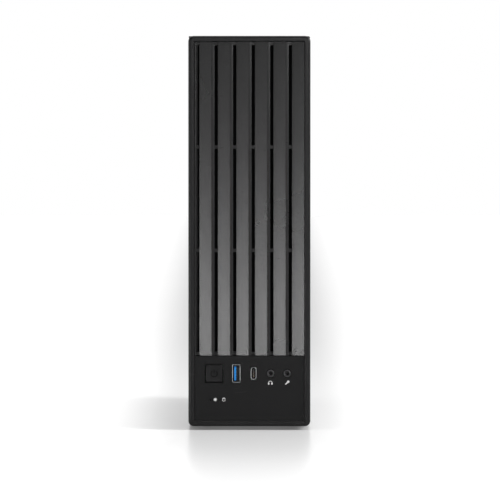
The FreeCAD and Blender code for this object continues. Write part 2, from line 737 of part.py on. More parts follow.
def front_plate():
    """Front sheet behind the bezel, with the fan's window, air holes, lead window and clip slots."""
    outside = block(
        "plate_outside", (lip_in, body_front, floor), (tray, body_front + size.fold_width, roof)
    )
    outside = rounded("plate_folds", outside, size.bend_radius, lengthwise)
    inside = block(
        "plate_inside",
        (lip_in + gauge, body_front + gauge, floor + gauge),
        (tray - gauge, body_front + size.fold_width + margin, roof - gauge),
    )
    start = body_front - margin
    tools = [inside, rod("fan_window", (ZERO, start, fan_z), "+Y", size.fan_bore, sheet_cut)]
    half = size.fan_screw_pitch / 2
    for index, (x, z) in enumerate(((-half, -half), (half, -half), (-half, half), (half, half))):
        hole = size.fan_screw_radius + size.thread_gap
        tools.append(rod(f"fan_plate_hole_{index}", (x, start, fan_z + z), "+Y", hole, sheet_cut))
    lead_low = bezel_low + size.lead_window_low
    tools.append(block(
        "lead_window",
        (-size.lead_window_width / 2, start, lead_low),
        (size.lead_window_width / 2, start + sheet_cut, lead_low + size.lead_window_height),
    ))
    for side in (-1, 1):
        for index, z in enumerate(clip_heights):
            outer = (bezel_half - size.clip_inset + size.fit_gap) * side
            inner = (bezel_half - size.clip_inset - size.clip_thickness - size.fit_gap) * side
            low_x, high_x = (outer, inner) if side < 0 else (inner, outer)
            tools.append(block(
                f"clip_slot_{side + 1}_{index}",
                (low_x, start, z - size.clip_width / 2 - size.fit_gap),
                (high_x, start + sheet_cut, z + size.clip_width / 2 + size.fit_gap),
            ))
    grid = holes(
        "front_air", count("front_hole_columns"), count("front_hole_rows"), size.front_hole_pitch,
        size.front_hole_radius, (ZERO, start, (cage_low + cage_high) / 2), 0, "+Y", sheet_cut,
    )
    plate = carved("front_plain", outside, tools)
    subpart(carved("front_plate", plate, [grid]))


def side_cover():
    """Removable left cover with its rear flange, air holes and six hooks, and its thumbscrews."""
    skin = block(
        "cover_skin",
        (cover_skin, body_front + size.fit_gap, body_low),
        (lip_out, body_rear + gauge, body_high),
    )
    flange = block(
        "cover_flange",
        (cover_skin, body_rear, body_low),
        (cover_skin + cover_flange, body_rear + gauge, body_high),
    )
    sheet_part = rounded("cover_fold", fused("cover_bent", [skin, flange]), size.bend_radius, rear_left_fold)
    hooks = []
    for row, z in enumerate(hook_heights):
        for column, y in enumerate(hook_places):
            low = z - size.hook_width / 2
            high = z + size.hook_width / 2
            tongue_x = lip_in + size.fit_gap
            hooks.append(block(
                f"hook_stem_{row}_{column}",
                (lip_out - gauge / 2, y, low),
                (tongue_x + gauge, y + gauge, high),
            ))
            hooks.append(block(
                f"hook_tongue_{row}_{column}",
                (tongue_x, y - size.hook_reach, low),
                (tongue_x + gauge, y + gauge, high),
            ))
    hole = size.screw_radius + size.fit_gap
    tools = []
    for index, z in enumerate(thumb_heights):
        start = (thumb_x, body_rear - margin, z)
        tools.append(rod(f"flange_hole_{index}", start, "+Y", hole, sheet_cut))
    grid = holes(
        "cover_air", count("cover_hole_columns"), count("cover_hole_rows"), size.cover_hole_pitch,
        size.cover_hole_radius,
        (cover_skin - margin, body_rear - size.cover_holes_forward, (board_low + board_high) / 2),
        1, "+X", sheet_cut,
    )
    drilled = carved("cover_drilled", sheet_part, tools)
    drilled = carved("cover_perforated", drilled, [grid])
    subpart(fused("side_cover", [drilled] + hooks))
    head_radius = cover_flange / 2 - size.thumb_edge
    screws = []
    for index, z in enumerate(thumb_heights):
        under = size.thumb_shank + gauge
        top = under + size.thumb_head
        corners = [
            (ZERO, ZERO),
            (size.screw_radius - size.thread_gap, ZERO),
            (size.screw_radius - size.thread_gap, under),
            (head_radius * size.thumb_waist, under),
            (head_radius * size.thumb_waist, under + size.thumb_collar),
            (head_radius, under + size.thumb_collar),
            (head_radius, top - size.thumb_edge * 2),
            (head_radius - size.thumb_edge * 2, top),
            (ZERO, top),
        ]
        start = (thumb_x, body_rear - size.thumb_shank, z)
        screws.append(turned(f"thumbscrew_{index}", corners, start, "+Y"))
    subpart(grouped("cover_thumbscrews", screws))


def feet():
    """Four tapered rubber feet under the floor pan."""
    names = [f"rubber_foot_{end}_{side}" for end in ("front", "rear") for side in ("left", "right")]
    corners = [
        (ZERO, ZERO),
        (size.foot_radius - size.foot_taper, ZERO),
        (size.foot_radius, body_low),
        (ZERO, body_low),
    ]
    for index, name in enumerate(names):
        x = (body_half - size.foot_side) * (1 if index % 2 else -1)
        y = body_front + size.foot_inset if index < 2 else body_rear - size.foot_inset
        subpart(turned(name, corners, (x, y, ZERO), "+Z"))


def standoffs():
    """Hexagonal posts swaged into the tray, with threaded holes for the motherboard."""
    posts = []
    for index, (y, z) in enumerate(stand_places):
        post = hexagon(f"stand_{index}", (tray, y, z), "-X", size.stand_radius, size.standoff_height)
        stub_radius = size.stub_radius - size.thread_gap
        stub_length = gauge + gauge * size.stub_reach
        stub = rod(f"stub_{index}", (tray - gauge, y, z), "+X", stub_radius, stub_length)
        whole = fused(f"stand_whole_{index}", [post, stub])
        mouth = (tray - size.standoff_height - margin, y, z)
        hole = rod(f"stand_hole_{index}", mouth, "+X", size.stand_hole, size.stand_hole_depth + margin)
        posts.append(carved(f"standoff_{index}", whole, [hole]))
    subpart(grouped("motherboard_standoffs", posts))


def drive_cage():
    """U-shaped cage for one upright disk, and the screws that hold it to the tray."""
    inner_x = cage_web - size.drive_stand - size.drive_height - size.cage_edge
    outside = block("cage_outside", (inner_x, cage_front, cage_low), (tray, cage_back, cage_high))
    inside = block(
        "cage_inside",
        (inner_x - margin, cage_front + gauge, cage_low - margin),
        (cage_web, cage_back - gauge, cage_high + margin),
    )
    tools = [inside]
    hole_x = cage_web - size.drive_stand - size.drive_hole_side
    for index in range(2):
        z = cage_low + size.drive_hole_first + size.drive_hole_pitch * index
        start = (hole_x, cage_front - margin, z)
        tools.append(rod(f"disk_hole_{index}", start, "+Y", size.drive_hole_radius, cage_width + margin * 2))
    screws = []
    for index, (y, z) in enumerate(cage_screws_at):
        hole = size.screw_radius + size.thread_gap
        tools.append(rod(f"cage_web_hole_{index}", (cage_web - margin, y, z), "+X", hole, sheet_cut))
        screws.append(screw(
            f"cage_screw_{index}", (tray + gauge, y, z), "-X", size.screw_radius, gauge * 2,
            size.screw_head_radius, size.cage_head_height,
        ))
    subpart(carved("drive_cage", outside, tools))
    subpart(grouped("cage_screws", screws))


def supply_stop():
    """Bent stop on the floor pan in front of the power supply."""
    back = rear_inside - size.supply_length - size.fit_gap
    middle = (supply_left + supply_right) / 2
    left = middle - size.stop_width / 2
    right = middle + size.stop_width / 2
    upright = block("stop_upright", (left, back - gauge, floor), (right, back, floor + size.stop_height))
    base = block("stop_base_plate", (left, back - size.stop_base, floor), (right, back, floor + gauge))
    subpart(fused("power_supply_stop", [upright, base]))


def cooling_fan():
    """Square fan frame with its motor plate and arms, the rotor, and four screws."""
    half = size.fan_size / 2
    fan_back = fan_front + size.fan_depth
    outside = block("fan_block", (-half, fan_front, fan_z - half), (half, fan_back, fan_z + half))
    outside = rounded("fan_corners", outside, size.fan_corner, lengthwise)
    duct_start = (ZERO, fan_front - margin, fan_z)
    tools = [rod("fan_duct", duct_start, "+Y", size.fan_bore, size.fan_depth + margin * 2)]
    screws = []
    pitch = size.fan_screw_pitch / 2
    for index, (x, z) in enumerate(((-pitch, -pitch), (pitch, -pitch), (-pitch, pitch), (pitch, pitch))):
        hole = size.fan_screw_radius + size.thread_gap
        hole_start = (x, fan_front - margin, fan_z + z)
        tools.append(rod(f"fan_frame_hole_{index}", hole_start, "+Y", hole, size.fan_depth + margin * 2))
        tip = (x, body_front + size.fan_screw_length, fan_z + z)
        screws.append(screw(
            f"fan_screw_{index}", tip, "-Y", size.fan_screw_radius, size.fan_screw_length,
            size.screw_head_radius, size.cage_head_height,
        ))
    ring = carved("fan_ring", outside, tools)
    plate_front = fan_back - size.fan_plate
    plate = rod("motor_plate", (ZERO, plate_front, fan_z), "+Y", size.hub_radius, size.fan_plate)
    arm = size.fan_arm / 2
    reach = size.fan_bore + size.fit_gap
    flat = block("fan_arm_flat", (-reach, plate_front, fan_z - arm), (reach, fan_back, fan_z + arm))
    upright = block("fan_arm_upright", (-arm, plate_front, fan_z - reach), (arm, fan_back, fan_z + reach))
    sleeve_start = (ZERO, plate_front - size.bearing_depth, fan_z)
    sleeve = rod("bearing", sleeve_start, "+Y", size.bearing_radius, size.bearing_depth)
    held = fused("fan_held", [ring, plate, flat, upright, sleeve])
    bore = rod(
        "bearing_bore", (ZERO, plate_front - size.bearing_depth - margin, fan_z), "+Y",
        size.shaft_radius + size.thread_gap, size.bearing_depth + margin,
    )
    subpart(carved("fan_frame", held, [bore]))
    subpart(grouped("fan_screws", screws))

    rotor_front = fan_front + size.rotor_setback
    hub = rod("hub_outside", (ZERO, rotor_front, fan_z), "+Y", size.hub_radius, size.hub_depth)
    hollow_start = (ZERO, rotor_front + size.hub_wall, fan_z)
    hollow = rod("hub_inside", hollow_start, "+Y", size.hub_radius - size.hub_wall, size.hub_depth)
    cup = carved("hub_cup", hub, [hollow])
    shaft_length = plate_front - size.fit_gap - rotor_front
    shaft = rod("rotor_shaft", (ZERO, rotor_front, fan_z), "+Y", size.shaft_radius, shaft_length)
    blade_middle = rotor_front + size.hub_depth / 2
    blades = []
    for index in range(count("blade_count")):
        blade = document.addObject("Part::Box", f"blade_{index}")
        bind(blade, "Length", size.blade_chord)
        bind(blade, "Width", size.blade_thickness)
        bind(blade, "Height", size.fan_bore)
        turn = FreeCAD.Rotation(FreeCAD.Vector(0, 1, 0), 360.0 * index / count("blade_count"))
        pitch_turn = FreeCAD.Rotation(FreeCAD.Vector(0, 0, 1), size.blade_angle.number)
        corner = FreeCAD.Vector(-size.blade_chord.number / 2, -size.blade_thickness.number / 2, 0)
        blade.Placement = FreeCAD.Placement((turn * pitch_turn).multVec(corner), turn * pitch_turn)
        blades.append(blade)
    wheel = fused("blade_wheel", blades)
    place(wheel, (ZERO, blade_middle, fan_z))
    limit = rod(
        "blade_limit", (ZERO, rotor_front, fan_z), "+Y", size.fan_bore - size.blade_tip_gap, size.hub_depth
    )
    core = rod(
        "blade_core", (ZERO, rotor_front - margin, fan_z), "+Y",
        size.hub_radius - size.hub_wall / 2, size.hub_depth + margin * 2,
    )
    swept = shared("blades_trimmed", wheel, limit)
    subpart(fused("fan_rotor", [carved("blades_outer", swept, [core]), cup, shaft]))


def front_bezel():
    """Moulded surround: raised border, rebate for the grille and the panel, and six snap clips."""
    outside = block("bezel_outside", (-bezel_half, front, bezel_low), (bezel_half, body_front, bezel_high))
    outside = rounded("bezel_corners", outside, size.bezel_corner, lengthwise)
    outside = rounded("bezel_front_edge", outside, size.bezel_edge, front_outline)
    opening = block(
        "bezel_opening", (-recess_half, front - margin, panel_low), (recess_half, seat, grille_high)
    )
    ledge = size.seat_ledge
    throat = block(
        "bezel_throat",
        (-recess_half + ledge, front, panel_low + ledge),
        (recess_half - ledge, seat + ledge + margin, grille_high - ledge),
    )
    wall = size.bezel_wall
    cavity = block(
        "bezel_cavity",
        (-bezel_half + wall, seat + ledge, bezel_low + wall),
        (bezel_half - wall, body_front + margin, bezel_high - wall),
    )
    pieces = [carved("bezel_hollow", outside, [opening, throat, cavity])]
    pieces.append(block(
        "bezel_crossbar",
        (-recess_half, seat, panel_high - ledge),
        (recess_half, seat + ledge, panel_high + ledge),
    ))
    for side in (-1, 1):
        for index, z in enumerate(clip_heights):
            root = bezel_half - wall
            outer = bezel_half - size.clip_inset
            inner = outer - size.clip_thickness
            nose = body_front + gauge + size.clip_nose
            spans_of = (
                (inner, root, body_front - size.clip_root, body_front - size.fit_gap),
                (inner, outer, body_front - size.clip_root, nose),
                (inner - size.clip_barb, outer, body_front + gauge + size.fit_gap, nose),
            )
            for part, (near, far, start, end) in enumerate(spans_of):
                low_x, high_x = (near * side, far * side) if side > 0 else (far * side, near * side)
                pieces.append(block(
                    f"clip_{side + 1}_{index}_{part}",
                    (low_x, start, z - size.clip_width / 2),
                    (high_x, end, z + size.clip_width / 2),
                ))
    subpart(fused("front_bezel", pieces))


def louvre_grille():
    """Upright slanted blades between smooth strips, joined by bars behind them."""
    low = panel_high + size.insert_gap
    high = grille_high - size.insert_gap
    left = -recess_half + size.insert_gap
    right = recess_half - size.insert_gap
    cover = size.louvre_rib - size.louvre_first
    pitch = (right - left + cover) / size.louvre_count
    face = pitch - size.louvre_rib - size.louvre_slot
    strip_front = front + size.louvre_recess
    height = high - low
    corners = [
        (ZERO, size.louvre_fall),
        (face, size.louvre_lift),
        (face, size.louvre_lift + size.louvre_skin),
        (ZERO, size.louvre_fall + size.louvre_skin),
    ]
    pieces = []
    for index in range(count("louvre_count")):
        x = left - cover + pitch * index
        strip_left = x if index else left
        pieces.append(block(
            f"strip_{index}", (strip_left, strip_front, low), (x + size.louvre_rib, seat, high)
        ))
        start = (x + size.louvre_rib + size.louvre_slot, strip_front, low)
        pieces.append(extruded(f"louvre_{index}", corners, start, height))
    rail_front = strip_front + size.louvre_fall
    pieces.append(block("grille_rail", (right - size.louvre_rib, rail_front, low), (right, seat, high)))
    bar = size.louvre_bar
    step = (height - bar) / (size.louvre_bar_count - 1)
    for index in range(count("louvre_bar_count")):
        z = low + step * index
        bar_front = strip_front + size.louvre_fall + size.louvre_skin / 2
        pieces.append(block(f"grille_bar_{index}", (left, bar_front, z), (right, seat, z + bar)))
    subpart(fused("louvre_grille", pieces))


def dust_filter():
    """Sheet of open foam behind the blades, in the bezel's pocket."""
    side = bezel_half - size.bezel_wall - size.insert_gap
    start = seat + size.seat_ledge
    subpart(block(
        "dust_filter",
        (-side, start, panel_high - size.seat_ledge),
        (side, start + size.filter_depth, bezel_high - size.bezel_wall - size.insert_gap),
    ))


def control_panel():
    """Flat panel with its socket openings, light holes and the posts for the socket board."""
    half = recess_half - size.insert_gap
    low = panel_low + size.insert_gap
    high = panel_high - size.insert_gap
    plate = block("panel_plate", (-half, panel_face, low), (half, seat, high))
    rim = size.panel_rim
    hollow = block(
        "panel_hollow", (-half + rim, panel_back, low + rim), (half - rim, seat + margin, high - rim)
    )
    ahead = panel_face - margin
    reach = size.panel_skin + margin * 2
    gap = size.button_gap
    tools = [hollow, block(
        "button_opening",
        (size.button_x - size.button_width / 2 - gap, ahead, ports_z - size.button_height / 2 - gap),
        (size.button_x + size.button_width / 2 + gap, ahead + reach, ports_z + size.button_height / 2 + gap),
    )]
    for name, x, width, height in (
        ("wide_opening", size.wide_port_x, size.wide_port_width, size.wide_port_height),
        ("small_opening", size.small_port_x, size.small_port_width, size.small_port_height),
    ):
        tools.append(block(
            name,
            (x - width / 2 - size.fit_gap, ahead, ports_z - height / 2 - size.fit_gap),
            (x + width / 2 + size.fit_gap, ahead + reach, ports_z + height / 2 + size.fit_gap),
        ))
    for index, x in enumerate(jack_places):
        start = (x, ahead, ports_z)
        tools.append(rod(f"jack_opening_{index}", start, "+Y", size.jack_sleeve + size.fit_gap, reach))
        tools.append(rod(f"jack_dish_{index}", start, "+Y", size.jack_dish, size.jack_dish_depth + margin))
    for index, x in enumerate((size.supply_light_x, size.drive_light_x)):
        hole = size.light_radius + size.thread_gap
        tools.append(rod(f"light_hole_{index}", (x, ahead, lights_z), "+Y", hole, reach))
    pieces = [carved("panel_open", plate, tools)]
    for index, (x, z) in enumerate(post_places):
        start = (x, panel_back - size.panel_skin / 2, z)
        post = rod(f"post_{index}", start, "+Y", size.post_radius, circuit_front - start[1])
        bore_start = (x, circuit_front - size.post_screw_length, z)
        hole = size.post_screw + size.thread_gap
        bore = rod(f"post_bore_{index}", bore_start, "+Y", hole, size.post_screw_length + margin)
        pieces.append(carved(f"post_drilled_{index}", post, [bore]))
    subpart(fused("control_panel", pieces))


def power_button():
    """Square push button with its flange and stem, and the switch that it works."""
    x = size.button_x
    face = panel_face - size.button_proud
    half_x = size.button_width / 2
    half_z = size.button_height / 2
    cap_back = panel_back + size.fit_gap + size.button_flange
    cap = block("button_cap", (x - half_x, face, ports_z - half_z), (x + half_x, cap_back, ports_z + half_z))
    cap = rounded("button_corners", cap, size.button_corner, lengthwise)
    edge = size.button_gap + size.button_flange
    flange = block(
        "button_collar",
        (x - half_x, panel_back + size.fit_gap, ports_z - half_z - edge),
        (x + half_x, cap_back, ports_z + half_z + edge),
    )
    switch_front = circuit_front - size.switch_depth
    plunger_mid = switch_front - size.button_travel - size.fit_gap
    stem = rod("button_stem", (x, cap_back - size.fit_gap, ports_z), "+Y", size.stem_radius,
               plunger_mid - cap_back + size.fit_gap)
    subpart(fused("power_button", [cap, flange, stem]))
    subpart(rod("switch_plunger", (x, plunger_mid, ports_z), "+Y", size.plunger_radius, size.plunger_length))
    side = size.switch_size / 2
    body = block(
        "switch_block", (x - side, switch_front, ports_z - side), (x + side, circuit_front, ports_z + side)
    )
    bore = rod(
        "switch_bore", (x, switch_front - margin, ports_z), "+Y", size.plunger_radius + size.thread_gap,
        plunger_mid + size.plunger_length + size.button_travel + size.fit_gap - switch_front + margin,
    )
    subpart(carved("power_switch", body, [bore]))


def shell_of(name, x, width, height, corner):
    """A thin rounded tube that opens at the panel's face and ends on the socket board."""
    wall = size.port_wall
    outside = block(
        f"{name}_outside",
        (x - width / 2, panel_face, ports_z - height / 2),
        (x + width / 2, circuit_front, ports_z + height / 2),
    )
    outside = rounded(f"{name}_corners", outside, corner, lengthwise)
    inside = block(
        f"{name}_inside",
        (x - width / 2 + wall, panel_face - margin, ports_z - height / 2 + wall),
        (x + width / 2 - wall, circuit_front + margin, ports_z + height / 2 - wall),
    )
    inside = rounded(f"{name}_inner_corners", inside, corner - wall, lengthwise)
    return carved(name, outside, [inside])


def sockets():
    """The wide and the small socket, each a metal shell and a moulded tongue."""
    wall = size.port_wall + size.thread_gap
    base_front = circuit_front - size.port_base
    subpart(shell_of(
        "wide_port_shell",
        size.wide_port_x, size.wide_port_width, size.wide_port_height, size.wide_port_corner,
    ))
    left = size.wide_port_x - size.wide_port_width / 2 + wall
    right = size.wide_port_x + size.wide_port_width / 2 - wall
    low = ports_z - size.wide_port_height / 2 + wall
    high = ports_z + size.wide_port_height / 2 - wall
    base = block("wide_base", (left, base_front, low), (right, circuit_front, high))
    base = rounded("wide_base_corners", base, size.wide_port_corner, lengthwise)
    tongue_left = left + size.wide_tongue_side
    tongue = block(
        "wide_blade",
        (tongue_left, panel_face + size.wide_tongue_back, ports_z - size.wide_tongue_height / 2),
        (tongue_left + size.wide_tongue, base_front + size.fit_gap, ports_z + size.wide_tongue_height / 2),
    )
    subpart(fused("wide_port_tongue", [base, tongue]))

    corner = (size.small_port_width - size.small_port_flat) / 2
    subpart(shell_of(
        "small_port_shell", size.small_port_x, size.small_port_width, size.small_port_height, corner
    ))
    half_x = size.small_port_width / 2 - wall
    half_z = size.small_port_height / 2 - wall
    base = block(
        "small_base",
        (size.small_port_x - half_x, base_front, ports_z - half_z),
        (size.small_port_x + half_x, circuit_front, ports_z + half_z),
    )
    base = rounded("small_base_corners", base, corner - wall, lengthwise)
    tongue = block(
        "small_blade",
        (size.small_port_x - size.small_tongue / 2, panel_face + size.small_tongue_back,
         ports_z - size.small_tongue_height / 2),
        (size.small_port_x + size.small_tongue / 2, base_front + size.fit_gap,
         ports_z + size.small_tongue_height / 2),
    )
    subpart(fused("small_port_tongue", [base, tongue]))


def jacks():
    """Two round sockets, each a sleeve on a moulded block."""
    for name, x in zip(("headphone_socket", "microphone_socket"), jack_places):
        half = size.jack_body / 2
        block_front = panel_back + size.fit_gap
        body = block(
            f"{name}_block",
            (x - half, block_front, ports_z - half),
            (x + half, circuit_front, ports_z + half),
        )
        sleeve = rod(
            f"{name}_sleeve", (x, panel_face + size.thread_gap, ports_z), "+Y", size.jack_sleeve,
            block_front - panel_face + size.fit_gap,
        )
        bore = rod(
            f"{name}_bore", (x, panel_face - margin, ports_z), "+Y", size.jack_bore,
            circuit_front - size.jack_end - panel_face + margin,
        )
        subpart(carved(name, fused(f"{name}_solid", [body, sleeve]), [bore]))


def lights():
    """Clear light pipes behind the two small holes, and the lamps that shine into them."""
    lamp_front = circuit_front - size.lamp_depth
    for name, x in (("power_light", size.supply_light_x), ("drive_light", size.drive_light_x)):
        start = (x, panel_face + size.fit_gap, lights_z)
        pipe = rod(f"{name}_stem", start, "+Y", size.light_radius, lamp_front - size.fit_gap - start[1])
        collar_start = (x, panel_back, lights_z)
        collar = rod(f"{name}_collar", collar_start, "+Y", size.light_collar, size.button_flange)
        subpart(fused(f"{name}_pipe", [pipe, collar]))
        half = size.lamp_side / 2
        subpart(block(
            f"{name}_lamp",
            (x - half, lamp_front, lights_z - half),
            (x + half, circuit_front, lights_z + half),
        ))


def socket_board():
    """Circuit board behind the panel, its screws, and the header that takes the leads."""
    board = block(
        "circuit_blank",
        (circuit_left, circuit_front, circuit_low),
        (circuit_right, circuit_rear, circuit_high),
    )
    tools = []
    screws = []
    for index, (x, z) in enumerate(post_places):
        hole = size.post_screw + size.fit_gap
        start = (x, circuit_front - margin, z)
        tools.append(rod(f"circuit_hole_{index}", start, "+Y", hole, size.circuit_thickness + margin * 2))
        length = size.post_screw_length - margin + size.circuit_thickness
        tip = (x, circuit_rear - length, z)
        screws.append(screw(
            f"board_screw_{index}", tip, "+Y", size.post_screw, length, size.post_head, size.post_head_height
        ))
    subpart(carved("socket_board", board, tools))
    subpart(grouped("socket_board_screws", screws))

    middle = (circuit_left + circuit_right) / 2
    header_z = bezel_low + size.lead_window_low + size.lead_window_height / 2
    half_x = size.header_length / 2
    half_z = size.header_height / 2
    outside = block(
        "header_block",
        (middle - half_x, circuit_rear, header_z - half_z),
        (middle + half_x, circuit_rear + size.header_depth, header_z + half_z),
    )
    wall = size.header_wall
    pins_front = circuit_rear + size.header_floor
    inside = block(
        "header_hollow",
        (middle - half_x + wall, pins_front, header_z - half_z + wall),
        (middle + half_x - wall, circuit_rear + size.header_depth + margin, header_z + half_z - wall),
    )
    subpart(carved("lead_header", outside, [inside]))
    pins = []
    columns = count("pin_columns")
    half = size.pin_side / 2
    for column in range(columns):
        for row in range(2):
            x = middle + size.pin_pitch * (column - (columns - 1) / 2)
            z = header_z + size.pin_pitch * (row - 0.5)
            pins.append(block(
                f"pin_{column}_{row}",
                (x - half, pins_front, z - half),
                (x + half, pins_front + size.pin_length, z + half),
            ))
    subpart(grouped("header_pins", pins))


chassis_shell()
rear_panel()
slot_covers()
front_plate()
side_cover()
feet()
standoffs()
drive_cage()
supply_stop()
cooling_fan()
front_bezel()
louvre_grille()
dust_filter()
control_panel()
power_button()
sockets()
jacks()
lights()
socket_board()
document.recompute()

for item in document.Objects:
    if "Invalid" in item.State or "Error" in item.State:
        raise RuntimeError(f"{item.Label} could not be built")
for item in subparts:
    if item.Shape.isNull() or not item.Shape.isValid() or not item.Shape.Solids:
        raise RuntimeError(f"{item.Label} has no valid solid")

os.makedirs("parts", exist_ok=True)
for item in subparts:
    item.Shape.exportStep(f"parts/{item.Label}.step")
    print(item.Label, len(item.Shape.Solids), round(item.Shape.Volume, 1))
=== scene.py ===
"""Moulded, pressed and turned finishes of a slim upright computer case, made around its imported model.

The front faces -Y, +X is to the right of someone looking at the front, and the feet stand on Z = 0.
Everything is in metres. Each made piece is a grid of points worked out from two parameters.
"""

import bmesh
import bpy
import numpy as np
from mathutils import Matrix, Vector


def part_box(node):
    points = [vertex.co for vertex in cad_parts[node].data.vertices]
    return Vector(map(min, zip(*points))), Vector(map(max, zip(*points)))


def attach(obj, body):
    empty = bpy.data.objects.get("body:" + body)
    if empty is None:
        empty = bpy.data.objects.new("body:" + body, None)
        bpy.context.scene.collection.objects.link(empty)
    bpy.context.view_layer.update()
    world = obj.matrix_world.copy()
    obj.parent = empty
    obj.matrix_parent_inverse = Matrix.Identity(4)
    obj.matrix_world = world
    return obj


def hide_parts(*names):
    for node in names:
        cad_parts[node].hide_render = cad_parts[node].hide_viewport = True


bl_info = {
    "name": "Slim Computer Case",
    "version": (1, 0, 0),
    "blender": (4, 5, 0),
    "location": "View3D > Sidebar > Case",
    "description": "Builds the visible pieces and finishes of a slim upright computer case",
    "category": "Object",
}

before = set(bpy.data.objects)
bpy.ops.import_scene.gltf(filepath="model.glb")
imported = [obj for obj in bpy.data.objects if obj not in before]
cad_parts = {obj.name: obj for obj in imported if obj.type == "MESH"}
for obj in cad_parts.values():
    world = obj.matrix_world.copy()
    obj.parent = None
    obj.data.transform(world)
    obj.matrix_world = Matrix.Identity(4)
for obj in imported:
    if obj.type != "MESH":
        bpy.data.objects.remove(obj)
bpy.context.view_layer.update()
TAU = 2 * np.pi


def corners(name):
    """Lowest and highest corner of a node at rest."""
    low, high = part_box(name)
    return np.array(low), np.array(high)


BEZEL_LOW, BEZEL_HIGH = corners("front_bezel")
GRILLE_LOW, GRILLE_HIGH = corners("louvre_grille")
PANEL_LOW, PANEL_HIGH = corners("control_panel")
SHELL_LOW = corners("chassis_shell")[0]
FRONT = BEZEL_LOW[1]


# Surfaces

def grid_shell(points, along=False):
    """Quads over a grid whose columns close on themselves.

    Point (i, j) joins (i, j + 1), (i + 1, j + 1) and (i + 1, j). Unless the rows close too, one face
    caps the first row and one the last.
    """
    rows, columns = points.shape[:2]
    index = np.arange(rows * columns).reshape(rows, columns)
    below = index if along else index[:-1]
    above = np.roll(index, -1, axis=0) if along else index[1:]
    quads = np.stack([below, np.roll(below, -1, axis=1), np.roll(above, -1, axis=1), above], axis=-1)
    faces = quads.reshape(-1, 4).tolist()
    if not along:
        faces += [index[0, ::-1].tolist(), index[-1].tolist()]
    return points.reshape(-1, 3), faces


def prism(outline, axis, start, end):
    """A closed outline carried straight along an axis.

    The outline's two columns are the other two axes in X, Y, Z order. Row 0 lies at the start, row 1
    at the end.
    """
    outline = np.asarray(outline, dtype=float)
    points = np.empty((2, len(outline), 3))
    others = [number for number in range(3) if number != axis]
    points[:, :, others[0]] = outline[:, 0]
    points[:, :, others[1]] = outline[:, 1]
    points[0, :, axis] = start
    points[1, :, axis] = end
    return grid_shell(points)


def bar(low, high):
    """A prism over the rectangle between two opposite corners, along Z."""
    outline = [(low[0], low[1]), (high[0], low[1]), (high[0], high[1]), (low[0], high[1])]
    return prism(outline, 2, low[2], high[2])


def rounded_rings(table, steps=8):
    """Rounded rectangles in X and Z, one for each row (x0, x1, z0, z1, radius, y), carried along Y.

    Corner k adds radius * (cos a, sin a) to its centre, for a from k to k + 1 quarter turns.
    """
    x0, x1, z0, z1, radius, y = (column[:, None, None] for column in np.asarray(table, dtype=float).T)
    quarter = np.arange(4)[None, :, None]
    angle = (quarter + np.linspace(0, 1, steps + 1)[None, None, :]) * np.pi / 2
    right = (quarter == 0) | (quarter == 3)
    upper = quarter < 2
    x = np.where(right, x1 - radius, x0 + radius) + radius * np.cos(angle)
    z = np.where(upper, z1 - radius, z0 + radius) + radius * np.sin(angle)
    points = np.stack([x, np.broadcast_to(y, x.shape), z], axis=-1)
    return points.reshape(len(points), -1, 3)


def turned(profile, centre, axis=1, sign=1.0, count=48, factor=None):
    """A profile of (radius, height) turned about an axis through the centre.

    Point (i, j) is centre + height_i along the axis + radius_i * factor_ij * (cos t_j, sin t_j) across it.
    """
    profile = np.asarray(profile, dtype=float)
    angle = np.arange(count) / count * TAU
    radius = np.repeat(profile[:, :1], count, axis=1)
    if factor is not None:
        radius = radius * factor
    points = np.empty((len(profile), count, 3))
    others = [number for number in range(3) if number != axis]
    points[:, :, others[0]] = centre[others[0]] + radius * np.cos(angle)
    points[:, :, others[1]] = centre[others[1]] + radius * np.sin(angle)
    points[:, :, axis] = centre[axis] + sign * profile[:, 1:]
    return points


def arc(centre, radius, start, end, count):
    """Points on a circle between two angles in turns."""
    angle = np.linspace(start, end, count) * TAU
    return np.stack([centre[0] + radius * np.cos(angle), centre[1] + radius * np.sin(angle)], axis=-1)


def ribbon(path, width, front, back, closed=False):
    """A strip carried along a path in X and Z, its section a rectangle across the path's normal."""
    path = np.asarray(path, dtype=float)
    if closed:
        tangent = np.roll(path, -1, axis=0) - np.roll(path, 1, axis=0)
    else:
        tangent = np.gradient(path, axis=0)
    tangent /= np.linalg.norm(tangent, axis=1, keepdims=True)
    normal = np.stack([-tangent[:, 1], tangent[:, 0]], axis=-1) * (np.asarray(width).reshape(-1, 1) / 2)
    sides = [path + normal, path - normal, path - normal, path + normal]
    depths = [front, front, back, back]
    points = np.stack([
        np.stack([side[:, 0], np.full(len(path), depth), side[:, 1]], axis=-1)
        for side, depth in zip(sides, depths)
    ], axis=1)
    return grid_shell(points, along=closed)


def bead(y, radius, start, end, count):
    """Quarter rounding between a side and the front, as insets from the side and depths.

    inset = radius * (1 - cos a) and depth = y + radius * (1 - sin a), with a from start to end turns.
    """
    angle = np.linspace(start, end, count) * TAU
    return radius * (1 - np.cos(angle)), y + radius * (1 - np.sin(angle))


def islands(name, axis):
    """Lowest and highest corners of a node's solids, each over 10 mm from the next across the axis."""
    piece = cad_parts[name]
    flat = np.empty(len(piece.data.vertices) * 3)
    piece.data.vertices.foreach_get("co", flat)
    placed = np.array(piece.matrix_world)
    rest = flat.reshape(-1, 3) @ placed[:3, :3].T + placed[:3, 3]
    others = [number for number in range(3) if number != axis]
    found = []
    while len(rest):
        near = np.abs(rest[:, others] - rest[0, others]).max(axis=1) < 0.01
        found.append((rest[near].min(axis=0), rest[near].max(axis=0)))
        rest = rest[~near]
    return found


